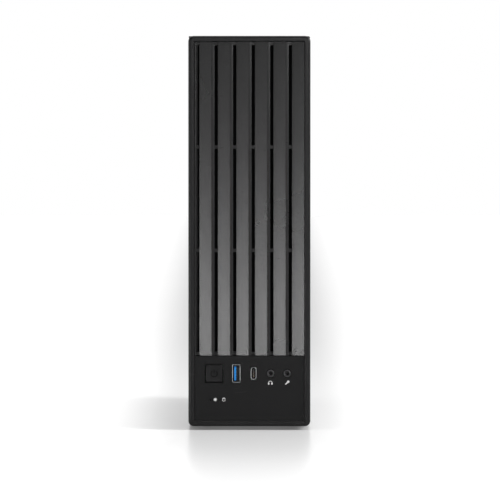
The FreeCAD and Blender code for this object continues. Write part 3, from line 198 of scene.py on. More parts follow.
def cross_outline(count, reach):
    """Radius of a cross recess at each of count angles.

    It is min(L / cos u, w / sin u), with u the angle from the nearest arm, L the reach and w = L tan 15.
    """
    angle = np.arange(count) / count * TAU
    from_arm = np.abs((angle + np.pi / 4) % (np.pi / 2) - np.pi / 4)
    side = reach * np.tan(np.pi / 12) / np.maximum(np.sin(from_arm), 1e-6)
    return np.minimum(reach / np.cos(from_arm), side)


def screw(low, high, axis, sign, shank, head, pitch):
    """A pan head screw with a rolled thread and a cross recess.

    Thread: radius = r (1 - d (1 + cos(2 pi h / p - t)) / 2). Head: R (0.62 + 0.38 cos a), rising as sin a.
    """
    across = 1 if axis != 1 else 0
    radius = (high[across] - low[across]) / 2
    length = high[axis] - low[axis] - head
    base = (low + high) / 2
    base[axis] = low[axis] if sign > 0 else high[axis]
    count = 48
    angle = np.arange(count) / count * TAU
    height = np.linspace(pitch / 2, length - pitch / 4, int(length / pitch) * 6)
    groove = 0.13 * (1 + np.cos(TAU * height[:, None] / pitch - angle)) / 2
    a = np.linspace(0, np.pi / 2, 7)
    crown = radius * (0.62 + 0.38 * np.cos(a))
    rows = [(1e-5, 0.0), (shank * 0.8, 0.0)]
    rows += [(shank, h) for h in height]
    rows += [(shank, length), (radius * 0.96, length), (radius, length + head * 0.08)]
    rows += [(r, length + head * (0.3 + 0.7 * s)) for r, s in zip(crown, np.sin(a))]
    top = length + head
    rows += [(1.0, top), (0.9, top - head * 0.45), (1e-5, top - head * 0.5)]
    factor = np.ones((len(rows), count))
    factor[2:2 + len(height)] -= groove
    factor[-3:-1] = cross_outline(count, radius * 0.55)
    return grid_shell(turned(rows, base, axis, sign, count, factor))


def add_piece(name, shells, material, body, replaced=(), bevel=0.0, sharp=35.0):
    """Joins shells into one mesh at the origin, turns its faces outwards, parents it to its body's empty and
    hides the nodes it replaces.
    """
    points = []
    faces = []
    total = 0
    for shell_points, shell_faces in shells:
        points.append(shell_points)
        faces += [[number + total for number in face] for face in shell_faces]
        total += len(shell_points)
    mesh = bpy.data.meshes.new(name)
    mesh.from_pydata(np.concatenate(points).tolist(), [], faces)
    work = bmesh.new()
    work.from_mesh(mesh)
    bmesh.ops.remove_doubles(work, verts=work.verts, dist=1e-7)
    bmesh.ops.recalc_face_normals(work, faces=work.faces)
    work.to_mesh(mesh)
    work.free()
    mesh.shade_smooth()
    mesh.set_sharp_from_angle(angle=np.radians(sharp))
    mesh.validate()
    piece = bpy.data.objects.new(name, mesh)
    bpy.context.scene.collection.objects.link(piece)
    mesh.materials.append(finish(material))
    if bevel:
        edge = piece.modifiers.new("softened_edges", "BEVEL")
        edge.width = bevel
        edge.segments = 2
        edge.limit_method = "ANGLE"
        edge.angle_limit = np.radians(sharp)
        edge.use_clamp_overlap = True
    flat = piece.modifiers.new("flat_faces", "WEIGHTED_NORMAL")
    flat.keep_sharp = not bevel
    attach(piece, body)
    if replaced:
        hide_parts(*replaced)


# Shader groups

PALE_DUST = (0.42, 0.4, 0.37, 1)
DEEP_SHADE = (0.0004, 0.0004, 0.0005, 1)
SCORED_PLASTIC = (0.05, 0.05, 0.052, 1)
SCORED_METAL = (0.3, 0.3, 0.3, 1)
DUST_ROUGHNESS = 0.3
BARE_LACQUER = (0.01, 0.075, 0.03, 1)
COVERED_COPPER = (0.03, 0.16, 0.06, 1)
# Near-black colour of the light pipes: painted shade in the light holes.
SHADED_PIPE = (0.002, 0.002, 0.0022, 1)
# Painted shade in the foam's pits.
FOAM_PIT_SHADE = (0.001, 0.001, 0.001, 1)


def feed(tree, target, links):
    """Gives the inputs of a shader node their links and values."""
    for name, value in links.items():
        if isinstance(value, bpy.types.NodeSocket):
            tree.links.new(value, target.inputs[name])
        else:
            target.inputs[name].default_value = value


def node(tree, kind, links=None, **settings):
    """A shader node with its settings, its values and its links."""
    made = tree.nodes.new(kind)
    for name, value in settings.items():
        setattr(made, name, value)
    feed(tree, made, links or {})
    return made


def math(tree, operation, first, second=0.0):
    """One sum, product or comparison of two values."""
    return node(tree, "ShaderNodeMath", {0: first, 1: second}, operation=operation).outputs[0]


def blend(tree, factor, first, second):
    """Mixes two colours."""
    return node(tree, "ShaderNodeMix", {0: factor, 6: first, 7: second}, data_type="RGBA").outputs[2]


def ramp(tree, value, low, high, start=0.0, end=1.0):
    """Maps a stretch of values onto another, smoothly."""
    links = {"Value": value, "From Min": low, "From Max": high, "To Min": start, "To Max": end}
    return node(tree, "ShaderNodeMapRange", links, interpolation_type="SMOOTHSTEP").outputs["Result"]


def place_on(tree):
    """Place on the object, in metres."""
    return node(tree, "ShaderNodeTexCoord").outputs["Object"]


def mapped(tree, place, **settings):
    """A place that is moved, turned or stretched."""
    return node(tree, "ShaderNodeMapping", {"Vector": place, **settings}).outputs["Vector"]


def part_of(tree, vector, axis):
    """One coordinate of a vector."""
    return node(tree, "ShaderNodeSeparateXYZ", {0: vector}).outputs[axis]


def noise(tree, place, scale, detail=2.0):
    """Cloudy noise with about so many swells to a metre."""
    links = {"Vector": place, "Scale": scale, "Detail": detail}
    return node(tree, "ShaderNodeTexNoise", links).outputs["Fac"]


def varied(tree, colour, signed, spread):
    """The colour times 1 + signed * spread."""
    gain = math(tree, "ADD", math(tree, "MULTIPLY", signed, spread), 1.0)
    made = node(tree, "ShaderNodeVectorMath", {0: colour, "Scale": gain}, operation="SCALE")
    return made.outputs["Vector"]


def group(name, inputs, outputs):
    """An empty shader group with named sockets."""
    tree = bpy.data.node_groups.new(name, "ShaderNodeTree")
    for label, kind, value in inputs:
        socket = tree.interface.new_socket(label, in_out="INPUT", socket_type=f"NodeSocket{kind}")
        socket.default_value = value
    for label, kind in outputs:
        tree.interface.new_socket(label, in_out="OUTPUT", socket_type=f"NodeSocket{kind}")
    return tree, tree.nodes.new("NodeGroupInput").outputs, tree.nodes.new("NodeGroupOutput")


def grain_group():
    """Spark-eroded mould grain: fine bumps, with a coarser swell that breaks their evenness."""
    tree, given, result = group(
        "mould_grain",
        [("Scale", "Float", 1500.0), ("Swell", "Float", 0.3)],
        [("Height", "Float"), ("Speckle", "Float")],
    )
    place = place_on(tree)
    fine = noise(tree, place, given["Scale"], 3.0)
    broad = noise(tree, place, math(tree, "MULTIPLY", given["Scale"], 0.17))
    swell = math(tree, "MULTIPLY", broad, given["Swell"])
    feed(tree, result, {
        "Height": math(tree, "ADD", fine, swell),
        "Speckle": ramp(tree, fine, 0.35, 0.65),
    })


def drift_group():
    """Slow changes of colour and gloss over a surface, as handling and moulding leave them."""
    tree, given, result = group(
        "slow_drift",
        [("Color", "Color", (0.5, 0.5, 0.5, 1)), ("Spread", "Float", 0.15),
         ("Roughness", "Float", 0.5), ("Gloss Spread", "Float", 0.08), ("Scale", "Float", 18.0)],
        [("Color", "Color"), ("Roughness", "Float")],
    )
    cloud = noise(tree, place_on(tree), given["Scale"], 5.0)
    signed = math(tree, "SUBTRACT", cloud, 0.5)
    gloss = math(tree, "MULTIPLY", signed, given["Gloss Spread"])
    feed(tree, result, {
        "Color": varied(tree, given["Color"], signed, given["Spread"]),
        "Roughness": math(tree, "ADD", given["Roughness"], gloss),
    })


def scuff_group():
    """Thin hair scratches: bands of noise stretched along two slanting directions."""
    tree, given, result = group(
        "hair_scratches",
        [("Scale", "Float", 60.0), ("Amount", "Float", 0.3)],
        [("Mask", "Float")],
    )
    place = place_on(tree)
    masks = []
    for turn, seed in ((0.5, 3.1), (-0.9, 9.4)):
        stretch = mapped(tree, place, Location=(seed, seed, seed), Rotation=(turn, turn * 0.6, turn),
                         Scale=(1.0, 12.0, 12.0))
        masks.append(ramp(tree, noise(tree, stretch, given["Scale"], 4.0), 0.66, 0.72))
    here = ramp(tree, noise(tree, place, 25.0), 0.5, 0.65)
    both = math(tree, "MULTIPLY", math(tree, "MAXIMUM", *masks), here)
    feed(tree, result, {"Mask": math(tree, "MULTIPLY", both, given["Amount"])})


def dust_group():
    """Pale dust that has settled on faces that look up."""
    tree, given, result = group(
        "settled_dust",
        [("Color", "Color", (0.5, 0.5, 0.5, 1)), ("Amount", "Float", 0.2)],
        [("Color", "Color"), ("Mask", "Float")],
    )
    facing = node(tree, "ShaderNodeNewGeometry").outputs["Normal"]
    upwards = ramp(tree, part_of(tree, facing, "Z"), 0.6, 1.0)
    heaps = ramp(tree, noise(tree, place_on(tree), 140.0, 8.0), 0.42, 0.75)
    mask = math(tree, "MULTIPLY", math(tree, "MULTIPLY", upwards, heaps), given["Amount"])
    feed(tree, result, {"Color": blend(tree, mask, given["Color"], PALE_DUST), "Mask": mask})


def recess_group():
    """Shade that grows with depth behind a plane across Y, as in narrow holes."""
    tree, given, result = group(
        "recess_shade",
        [("Color", "Color", (0.5, 0.5, 0.5, 1)), ("Plane", "Float", 0.0), ("Reach", "Float", 0.001)],
        [("Color", "Color")],
    )
    behind = math(tree, "SUBTRACT", part_of(tree, place_on(tree), "Y"), given["Plane"])
    shade = ramp(tree, math(tree, "DIVIDE", behind, given["Reach"]), 0.0, 1.0)
    feed(tree, result, {"Color": blend(tree, shade, given["Color"], DEEP_SHADE)})


def spangle_group():
    """Zinc crystals: cells of slightly different tone and gloss, with fine rolling lines across them."""
    tree, given, result = group(
        "zinc_spangle",
        [("Color", "Color", (0.6, 0.6, 0.6, 1)), ("Scale", "Float", 160.0), ("Contrast", "Float", 0.25)],
        [("Color", "Color"), ("Roughness", "Float"), ("Height", "Float")],
    )
    place = place_on(tree)
    warp = node(tree, "ShaderNodeTexNoise", {"Vector": place, "Scale": 90.0}).outputs["Color"]
    bent = node(tree, "ShaderNodeVectorMath", {0: warp, "Scale": 0.004}, operation="SCALE").outputs["Vector"]
    moved = node(tree, "ShaderNodeVectorMath", {0: place, 1: bent}, operation="ADD").outputs["Vector"]
    cell = node(tree, "ShaderNodeTexVoronoi", {"Vector": moved, "Scale": given["Scale"]})
    tone = part_of(tree, cell.outputs["Color"], "X")
    signed = math(tree, "SUBTRACT", tone, 0.5)
    lines = noise(tree, mapped(tree, place, Scale=(900.0, 900.0, 30.0)), 1.0)
    rough = math(tree, "ADD", math(tree, "MULTIPLY", tone, 0.16), 0.3)
    rough = math(tree, "ADD", rough, math(tree, "MULTIPLY", lines, 0.08))
    feed(tree, result, {
        "Color": varied(tree, given["Color"], signed, given["Contrast"]),
        "Roughness": rough,
        "Height": lines,
    })


def use(tree, name, links):
    """Outputs of a placed copy of a shader group."""
    return node(tree, "ShaderNodeGroup", links, node_tree=bpy.data.node_groups[name]).outputs


# Materials

def finish(name):
    """The made material of that name."""
    return bpy.data.materials[f"{name}_finish"]


def opened(name, **values):
    """A new material with its surface shader, whose plain sockets take the given values."""
    material = bpy.data.materials.new(f"{name}_finish")
    material.use_nodes = True
    tree = material.node_tree
    shader = tree.nodes["Principled BSDF"]
    feed(tree, shader, {label.replace("_", " "): value for label, value in values.items()})
    return tree, shader


def surface(tree, shader, colour, roughness, height, depth):
    """Colour, roughness and bumps of a finish."""
    raised = node(tree, "ShaderNodeBump", {"Height": height, "Distance": depth})
    feed(tree, shader, {"Base Color": colour, "Roughness": roughness, "Normal": raised.outputs["Normal"]})


def weathered(tree, colour, roughness, scratch, scored, dust):
    """The colour and roughness of a finish under dust and hair scratches."""
    scratched = use(tree, "hair_scratches", {"Amount": scratch})
    dusty = use(tree, "settled_dust", {"Color": colour, "Amount": dust})
    surface_colour = blend(tree, scratched["Mask"], dusty["Color"], scored)
    return surface_colour, math(tree, "ADD", roughness, math(tree, "MULTIPLY", dusty["Mask"], DUST_ROUGHNESS))


def plastic(name, colour, roughness, scale, depth, spread=0.12, speckle=0.0, scratch=0.15, specular=0.3,
            recess=None, gloss=0.1):
    """Moulded plastic: mould grain, slow drift, a few hair scratches, dust on what looks up, and, where a
    recess is given, painted shade that darkens the colour with depth behind its plane.
    """
    tree, shader = opened(name, Specular_IOR_Level=specular)
    grain = use(tree, "mould_grain", {"Scale": scale})
    lighter = tuple(min(1.0, part * (1 + speckle) + speckle * 0.01) for part in colour[:3]) + (1,)
    mottled = blend(tree, grain["Speckle"], tuple(colour[:3]) + (1,), lighter)
    drift = use(tree, "slow_drift", {
        "Color": mottled, "Spread": spread, "Roughness": roughness, "Gloss Spread": gloss,
    })
    surface_colour, rough = weathered(tree, drift["Color"], drift["Roughness"], scratch, SCORED_PLASTIC, 0.08)
    # Painted shade: behind the given plane the colour darkens with depth towards near black.
    if recess:
        plane, reach = recess
        surface_colour = use(tree, "recess_shade", {"Color": surface_colour, "Plane": float(plane), "Reach": reach})["Color"]
    surface(tree, shader, surface_colour, rough, grain["Height"], depth)


def zinc(name, colour, contrast=0.22, scale=160.0):
    """Galvanised sheet or a plated part."""
    tree, shader = opened(name, Metallic=1.0)
    tint = tuple(colour[:3]) + (1,)
    cells = use(tree, "zinc_spangle", {"Color": tint, "Contrast": contrast, "Scale": scale})
    surface_colour, rough = weathered(tree, cells["Color"], cells["Roughness"], 0.35, SCORED_METAL, 0.12)
    surface(tree, shader, surface_colour, rough, cells["Height"], 0.00001)


def green_lacquer(name):
    """Circuit board: lacquer over copper tracks that run in stepped bands."""
    tree, shader = opened(name, Coat_Weight=0.4, Coat_Roughness=0.15)
    flat = mapped(tree, place_on(tree), Scale=(1.0, 0.0, 1.0))
    cells = node(tree, "ShaderNodeTexVoronoi", {"Vector": flat, "Scale": 220.0, "Randomness": 0.3},
                 distance="CHEBYCHEV")
    tracks = ramp(tree, math(tree, "PINGPONG", cells.outputs["Distance"], 0.12), 0.05, 0.07)
    drift = use(tree, "slow_drift", {"Color": BARE_LACQUER, "Roughness": 0.35, "Spread": 0.3})
    copper = blend(tree, tracks, drift["Color"], COVERED_COPPER)
    surface(tree, shader, copper, drift["Roughness"], tracks, 0.00003)


def clear(name):
    """Moulded light pipe, barely see-through; its near-black colour and faint gloss are painted shade, so the
    light holes read black.
    """
    tree, shader = opened(name, Transmission_Weight=0.04, IOR=1.2, Specular_IOR_Level=0.02)
    drift = use(tree, "slow_drift", {"Color": SHADED_PIPE, "Roughness": 0.3, "Scale": 400.0})
    grain = use(tree, "mould_grain", {"Scale": 900.0})
    surface(tree, shader, drift["Color"], drift["Roughness"], grain["Height"], 0.00002)


def foam(name, colour):
    """Open-cell foam: dark pits between pale cell walls; the pits' darkness is painted shade."""
    tree, shader = opened(name, Specular_IOR_Level=0.1)
    cell = node(tree, "ShaderNodeTexVoronoi", {"Vector": place_on(tree), "Scale": 900.0},
                feature="DISTANCE_TO_EDGE")
    pit = ramp(tree, cell.outputs["Distance"], 0.02, 0.3)
    drift = use(tree, "slow_drift", {"Color": tuple(colour) + (1,), "Roughness": 0.9, "Spread": 0.3})
    surface(tree, shader, blend(tree, pit, drift["Color"], FOAM_PIT_SHADE), drift["Roughness"], pit, -0.0004)


FINISHES = {
    "body_paint": ("chassis_shell", "side_cover"),
    "bare_steel": ("rear_panel", "rear_flanges", "slot_ledge", "front_plate", "drive_cage",
                   "power_supply_stop", "slot_cover_1", "slot_cover_2", "slot_cover_3", "slot_cover_4"),
    "bright_screws": ("slot_screws", "cage_screws", "fan_screws", "socket_board_screws"),
    "dark_screws": ("cover_thumbscrews",),
    "foot_rubber": ("rubber_foot_front_left", "rubber_foot_front_right", "rubber_foot_rear_left",
                    "rubber_foot_rear_right"),
    "brass": ("motherboard_standoffs", "header_pins"),
    "fan_plastic": ("fan_frame", "fan_rotor"),
    "panel_plastic": ("control_panel",),
    "switch_plastic": ("power_switch", "switch_plunger"),
    "port_metal": ("wide_port_shell", "small_port_shell"),
    "blue_plastic": ("wide_port_tongue",),
    "port_plastic": ("small_port_tongue", "lead_header"),
    "socket_plastic": ("headphone_socket", "microphone_socket"),
    "clear_plastic": ("power_light_pipe", "drive_light_pipe"),
    "lamp_white": ("power_light_lamp", "drive_light_lamp"),
    "circuit_lacquer": ("socket_board",),
    "filter_foam": ("dust_filter",),
}


def make_materials(colours):
    """One material for each finish of the case."""
    for make in (grain_group, drift_group, scuff_group, dust_group, recess_group, spangle_group):
        make()
    face = PANEL_LOW[1]
    plastic("bezel_plastic", colours.bezel, 0.3, 1400.0, 0.00002, specular=0.18)
    # Painted shade: the grille's blades and strips darken behind their planes, so the bars behind the slots
    # read black.
    plastic("louvre_plastic", colours.louvre, 0.27, 900.0, 0.00004, speckle=0.5, specular=0.46, gloss=0.03,
            recess=(GRILLE_LOW[1] + 0.0042, 0.0008))
    plastic("strip_plastic", colours.louvre, 0.26, 1400.0, 0.00002, specular=0.27,
            recess=(GRILLE_LOW[1] + 0.001, 0.003))
    # Painted shade: the panel darkens in its holes and dishes, and the button towards its back, round its
    # sides.
    plastic("panel_plastic", colours.panel, 0.38, 1400.0, 0.00002, specular=0.13,
            recess=(face + 0.0001, 0.0006))
    plastic("button_plastic", colours.button, 0.36, 1400.0, 0.00002, specular=0.15,
            recess=(face + 0.0004, 0.0008))
    plastic("sunk_symbol", (0.0015, 0.0015, 0.0016), 0.5, 1400.0, 0.00002, specular=0.05)
    plastic("body_paint", colours.paint, 0.42, 1100.0, 0.00005, speckle=0.25)
    plastic("foot_rubber", (0.014, 0.014, 0.014), 0.78, 700.0, 0.00006)
    plastic("fan_plastic", (0.01, 0.01, 0.011), 0.4, 1200.0, 0.00002)
    # Painted shade: the small socket's tongue, the round sockets' bores and the blue tongue's base darken
    # with depth inside the sockets.
    plastic("port_plastic", (0.06, 0.06, 0.061), 0.45, 1500.0, 0.00001, recess=(face + 0.00125, 0.0008))
    plastic("switch_plastic", (0.05, 0.05, 0.052), 0.45, 1500.0, 0.00001)
    plastic("socket_plastic", (0.07, 0.07, 0.073), 0.3, 1500.0, 0.00001, specular=0.5,
            recess=(face + 0.00022, 0.0003))
    plastic("blue_plastic", colours.tongue, 0.3, 1200.0, 0.00001, spread=0.2, recess=(face + 0.0012, 0.0035))
    plastic("lamp_white", (0.75, 0.75, 0.7), 0.35, 900.0, 0.00001)
    plastic("symbol_print", colours.symbol, 0.5, 2500.0, 0.00001, scratch=0.3)
    foam("filter_foam", (0.006, 0.006, 0.006))
    zinc("bare_steel", colours.steel)
    zinc("bright_screws", (0.72, 0.72, 0.73), 0.08, 900.0)
    zinc("dark_screws", (0.05, 0.05, 0.055), 0.1, 900.0)
    zinc("port_metal", (0.42, 0.43, 0.44), 0.06, 1200.0)
    zinc("brass", (0.72, 0.52, 0.25), 0.1, 900.0)
    green_lacquer("circuit_lacquer")
    clear("clear_plastic")


# Settings

LENGTH = {"subtype": "DISTANCE", "unit": "LENGTH"}
COLOUR = {"size": 3, "min": 0.0, "max": 1.0, "subtype": "COLOR"}


class CaseSizes(bpy.types.PropertyGroup):
    """Sizes of the made pieces that a user would change."""

    edge: bpy.props.FloatProperty(
        name="Front edge", description="Rounding of the surround's front edge",
        default=0.002, min=0.0005, max=0.004, **LENGTH)
    corner: bpy.props.FloatProperty(
        name="Outer corner", description="Radius of the surround's four corners",
        default=0.0045, min=0.002, max=0.01, **LENGTH)
    wall: bpy.props.FloatProperty(
        name="Wall", description="Thickness of the surround's side walls",
        default=0.0025, min=0.001, max=0.004, **LENGTH)
    lip: bpy.props.FloatProperty(
        name="Recess lip", description="Rounding of the surround's inner front edge",
        default=0.0008, min=0.0001, max=0.001, **LENGTH)
    blades: bpy.props.IntProperty(
        name="Blades", description="Slanted blades of the grille", default=6, min=2, max=12)
    strip: bpy.props.FloatProperty(
        name="Strip", description="Width of the smooth strip beside each blade",
        default=0.0024, min=0.001, max=0.004, **LENGTH)
    first: bpy.props.FloatProperty(
        name="First strip", description="Seen width of the leftmost strip",
        default=0.00125, min=0.0005, max=0.004, **LENGTH)
    slot: bpy.props.FloatProperty(
        name="Slot", description="Width of the open slot beside each strip",
        default=0.0025, min=0.001, max=0.004, **LENGTH)
    fall: bpy.props.FloatProperty(
        name="Fall", description="Low edge of a blade behind the strips",
        default=0.0038, min=0.001, max=0.006, **LENGTH)
    lift: bpy.props.FloatProperty(
        name="Lift", description="High edge of a blade behind the strips",
        default=0.0005, min=0.0, max=0.002, **LENGTH)
    skin: bpy.props.FloatProperty(
        name="Skin", description="Thickness of a blade",
        default=0.002, min=0.001, max=0.003, **LENGTH)
    rotor_blades: bpy.props.IntProperty(
        name="Fan blades", description="Blades of the fan's rotor", default=7, min=3, max=9)


class CaseColours(bpy.types.PropertyGroup):
    """Base colours of the finishes, before grain, drift, wear and the painted shade in recesses."""

    bezel: bpy.props.FloatVectorProperty(
        name="Surround", description="Moulded surround", default=(0.005, 0.005, 0.0053),
        **COLOUR)
    louvre: bpy.props.FloatVectorProperty(
        name="Grille", description="Textured louvre grille", default=(0.004, 0.004, 0.0042),
        **COLOUR)
    panel: bpy.props.FloatVectorProperty(
        name="Panel", description="Flat control panel", default=(0.0048, 0.0048, 0.005),
        **COLOUR)
    button: bpy.props.FloatVectorProperty(
        name="Button", description="Power button", default=(0.0055, 0.0055, 0.0058),
        **COLOUR)
    paint: bpy.props.FloatVectorProperty(
        name="Paint", description="Powder coat of the steel body", default=(0.014, 0.014, 0.015),
        **COLOUR)
    steel: bpy.props.FloatVectorProperty(
        name="Steel", description="Bare galvanised sheet", default=(0.52, 0.53, 0.54),
        **COLOUR)
    tongue: bpy.props.FloatVectorProperty(
        name="Tongue", description="Blue tongue of the wide socket", default=(0.004, 0.165, 0.47),
        **COLOUR)
    symbol: bpy.props.FloatVectorProperty(
        name="Symbols", description="Printed symbols", default=(0.55, 0.55, 0.55),
        **COLOUR)


class StageSettings(bpy.types.PropertyGroup):
    """Camera and lights."""

    distance: bpy.props.FloatProperty(
        name="Distance", description="Camera in front of the case's face",
        default=5.0, min=0.5, max=10.0, **LENGTH)
    field: bpy.props.FloatProperty(
        name="Field", description="Width that the picture shows at the case's face",
        default=0.4008, min=0.1, max=2.0, **LENGTH)
    height: bpy.props.FloatProperty(
        name="Height", description="Camera above the floor",
        default=0.31, min=0.0, max=2.0, **LENGTH)
    aim: bpy.props.FloatProperty(
        name="Aim", description="Height of the point on the case's face that the camera looks at",
        default=0.1447, min=0.0, max=1.0, **LENGTH)
    aside: bpy.props.FloatProperty(
        name="Aside", description="Camera to the right of the case's middle",
        default=0.0005, min=-1.0, max=1.0, **LENGTH)
    ambient: bpy.props.FloatProperty(
        name="Ambient", description="Even light from all round", default=0.25, min=0.0, max=2.0)
    overhead: bpy.props.FloatProperty(
        name="Overhead", description="Large soft lamp above", default=14.0, min=0.0, max=200.0,
        unit="POWER")
    left: bpy.props.FloatProperty(
        name="Left", description="Soft lamp low on the left", default=1.75, min=0.0, max=100.0,
        unit="POWER")
    right: bpy.props.FloatProperty(
        name="Right", description="Small lamp over the camera's right", default=6.0, min=0.0, max=100.0,
        unit="POWER")
    strips: bpy.props.FloatProperty(
        name="Strips", description="Upright strip lamps at both sides, which draw the edges",
        default=45.0, min=0.0, max=100.0, unit="POWER")


# Front of the case

class CASE_OT_surround(bpy.types.Operator):
    """Moulded surround with its raised border, rebate, crossbar and snap clips"""

    bl_idname = "case.surround"
    bl_label = "Surround"

    def execute(self, context):
        """Rings of (x0, x1, z0, z1, radius, y) run from the back rim over the front and into the rebate."""
        size = context.scene.case_sizes
        x0, x1 = BEZEL_LOW[0], BEZEL_HIGH[0]
        z0, z1 = BEZEL_LOW[2], BEZEL_HIGH[2]
        gap = 0.00015
        r0, r1 = GRILLE_LOW[0] - gap, GRILLE_HIGH[0] + gap
        s0, s1 = PANEL_LOW[2] - gap, GRILLE_HIGH[2] + gap
        back = SHELL_LOW[1]
        seat = GRILLE_HIGH[1]
        ledge = 0.0025
        inset, depth = bead(FRONT, size.edge, 0.0, 0.25, 9)
        table = [(x0, x1, z0, z1, size.corner, back)]
        table += [(x0 + i, x1 - i, z0 + i, z1 - i, size.corner - i, y) for i, y in zip(inset, depth)]
        inset, depth = bead(FRONT, size.lip, 0.25, 0.0, 5)
        inner = 0.0005
        table += [(r0 - i, r1 + i, s0 - i, s1 + i, inner + i, y) for i, y in zip(inset, depth)]
        table.append((r0, r1, s0, s1, inner, seat))
        table.append((r0 + ledge, r1 - ledge, s0 + ledge, s1 - ledge, inner, seat))
        table.append((r0 + ledge, r1 - ledge, s0 + ledge, s1 - ledge, inner, seat + ledge))
        wall = size.wall
        table.append((x0 + wall, x1 - wall, z0 + wall, z1 - wall, 0.002, seat + ledge))
        table.append((x0 + wall, x1 - wall, z0 + wall, z1 - wall, 0.002, back))
        shells = [grid_shell(rounded_rings(table), along=True)]
        middle = (PANEL_HIGH[2] + GRILLE_LOW[2]) / 2
        play = 0.0001
        shells.append(bar((r0 + play, seat + play, middle - ledge),
                          (r1 - play, seat + ledge, middle + ledge)))
        tip = BEZEL_HIGH[1]
        root, outer, slope, inner, hook = x1 - wall + 0.0002, 0.0445, 0.0428, 0.0425, 0.0413
        shoulder, heel = back - 0.0003, back - 0.01
        ramp_end, catch = tip - 0.0022, tip - 0.0027
        clip = np.array([
            (root, heel), (root, shoulder), (outer, shoulder), (outer, tip), (slope, tip),
            (hook, ramp_end), (hook, catch), (inner, catch), (inner, heel),
        ])
        from_end, half = 0.03, 0.004
        for side in (-1, 1):
            for z in (z0 + from_end, (z0 + z1) / 2, z1 - from_end):
                shells.append(prism(clip * (side, 1), 2, z - half, z + half))
        add_piece("front_surround", shells, "bezel_plastic", "chassis", ["front_bezel"])
        return {"FINISHED"}


class CASE_OT_louvres(bpy.types.Operator):
    """Upright slanted blades between smooth strips, with the bars behind them"""

    bl_idname = "case.louvres"
    bl_label = "Louvres"

    def execute(self, context):
        """A blade's face runs straight from its low edge to its high edge, less a slight hollow u(1 - u)."""
        size = context.scene.case_sizes
        left, right = GRILLE_LOW[0], GRILLE_HIGH[0]
        low, high = GRILLE_LOW[2], GRILLE_HIGH[2]
        strip_front, seat = GRILLE_LOW[1], GRILLE_HIGH[1]
        hidden = size.strip - size.first
        pitch = (right - left + hidden) / size.blades
        face = pitch - size.strip - size.slot
        shells = []
        strips = []
        u = np.linspace(0, 1, 9)
        hollow = 0.00025
        depth = size.fall + (size.lift - size.fall) * u + hollow * 4 * u * (1 - u)
        front_line = np.stack([u * face, strip_front + depth], axis=-1)
        back_line = np.stack([u * face, strip_front + depth + size.skin], axis=-1)[::-1]
        outline = np.concatenate([front_line, back_line])
        for number in range(size.blades):
            x = left - hidden + pitch * number
            strips.append(bar((max(x, left), strip_front, low), (x + size.strip, seat, high)))
            shells.append(prism(outline + (x + size.strip + size.slot, 0), 2, low, high))
        shells.append(bar((right - size.strip, strip_front + size.fall, low), (right, seat, high)))
        tall = 0.003
        bar_front = strip_front + size.fall + size.skin * 0.9
        for z in np.linspace(low, high - tall, 4):
            strips.append(bar((left, bar_front, z), (right, seat, z + tall)))
        add_piece("louvre_blades", shells, "louvre_plastic", "chassis",
                  ["louvre_grille"], bevel=0.00016)
        add_piece("louvre_strips", strips, "strip_plastic", "chassis", bevel=0.00022)
        return {"FINISHED"}


class CASE_OT_button(bpy.types.Operator):
    """Square power button with soft edges, a dished face, its flange and its stem"""

    bl_idname = "case.button"
    bl_label = "Power button"

    def execute(self, context):
        """Rounded rectangles shrink towards the middle while their depth sinks as 1 - s squared."""
        low, high = corners("power_button")
        half_x = (high[0] - low[0]) / 2 - 0.0004
        centre = (low + high) / 2
        half_z = half_x + 0.0002
        face = low[1]
        cap_back = face + 0.0046
        edge = 0.0007
        inset, depth = bead(face, edge, 0.0, 0.25, 7)
        table = [(-half_x, half_x, -half_z, half_z, 0.001, cap_back)]
        table += [(i - half_x, half_x - i, i - half_z, half_z - i, 0.001 - i * 0.5, y)
                  for i, y in zip(inset, depth)]
        inner_x, inner_z = half_x - edge, half_z - edge
        for s in np.linspace(0.9, 0.02, 9):
            sunk = 0.00025 * (1 - s * s)
            table.append((-inner_x * s, inner_x * s, -inner_z * s, inner_z * s, 0.0007 * s, face + sunk))
        table = np.array(table)
        table[:, 0:2] += centre[0]
        table[:, 2:4] += centre[2]
        shells = [grid_shell(rounded_rings(table, 5))]
        reach = (high[2] - low[2]) / 2
        shells.append(bar((low[0] + 0.0001, cap_back - 0.0012, centre[2] - reach),
                          (high[0] - 0.0001, cap_back, centre[2] + reach)))
        sunk_in = 0.0003
        reach = high[1] - cap_back + sunk_in
        stem = [(1e-5, 0), (0.002, 0), (0.002, reach), (1e-5, reach)]
        start = (centre[0], cap_back - sunk_in, centre[2])
        shells.append(grid_shell(turned(stem, start, count=32)))
        add_piece("power_button_cap", shells, "button_plastic", "button", ["power_button"])
        proud = face + 0.00003
        back = face + 0.0006
        middle = centre[[0, 2]]
        ring = arc(middle, 0.0025, 0.36, 1.14, 40)
        stroke = np.array([middle + (0, 0.0006), middle + (0, 0.0032)])
        width = 0.0007
        mark = [ribbon(ring, width, proud, back), ribbon(stroke, width, proud, back)]
        add_piece("power_symbol", mark, "sunk_symbol", "button")
        return {"FINISHED"}


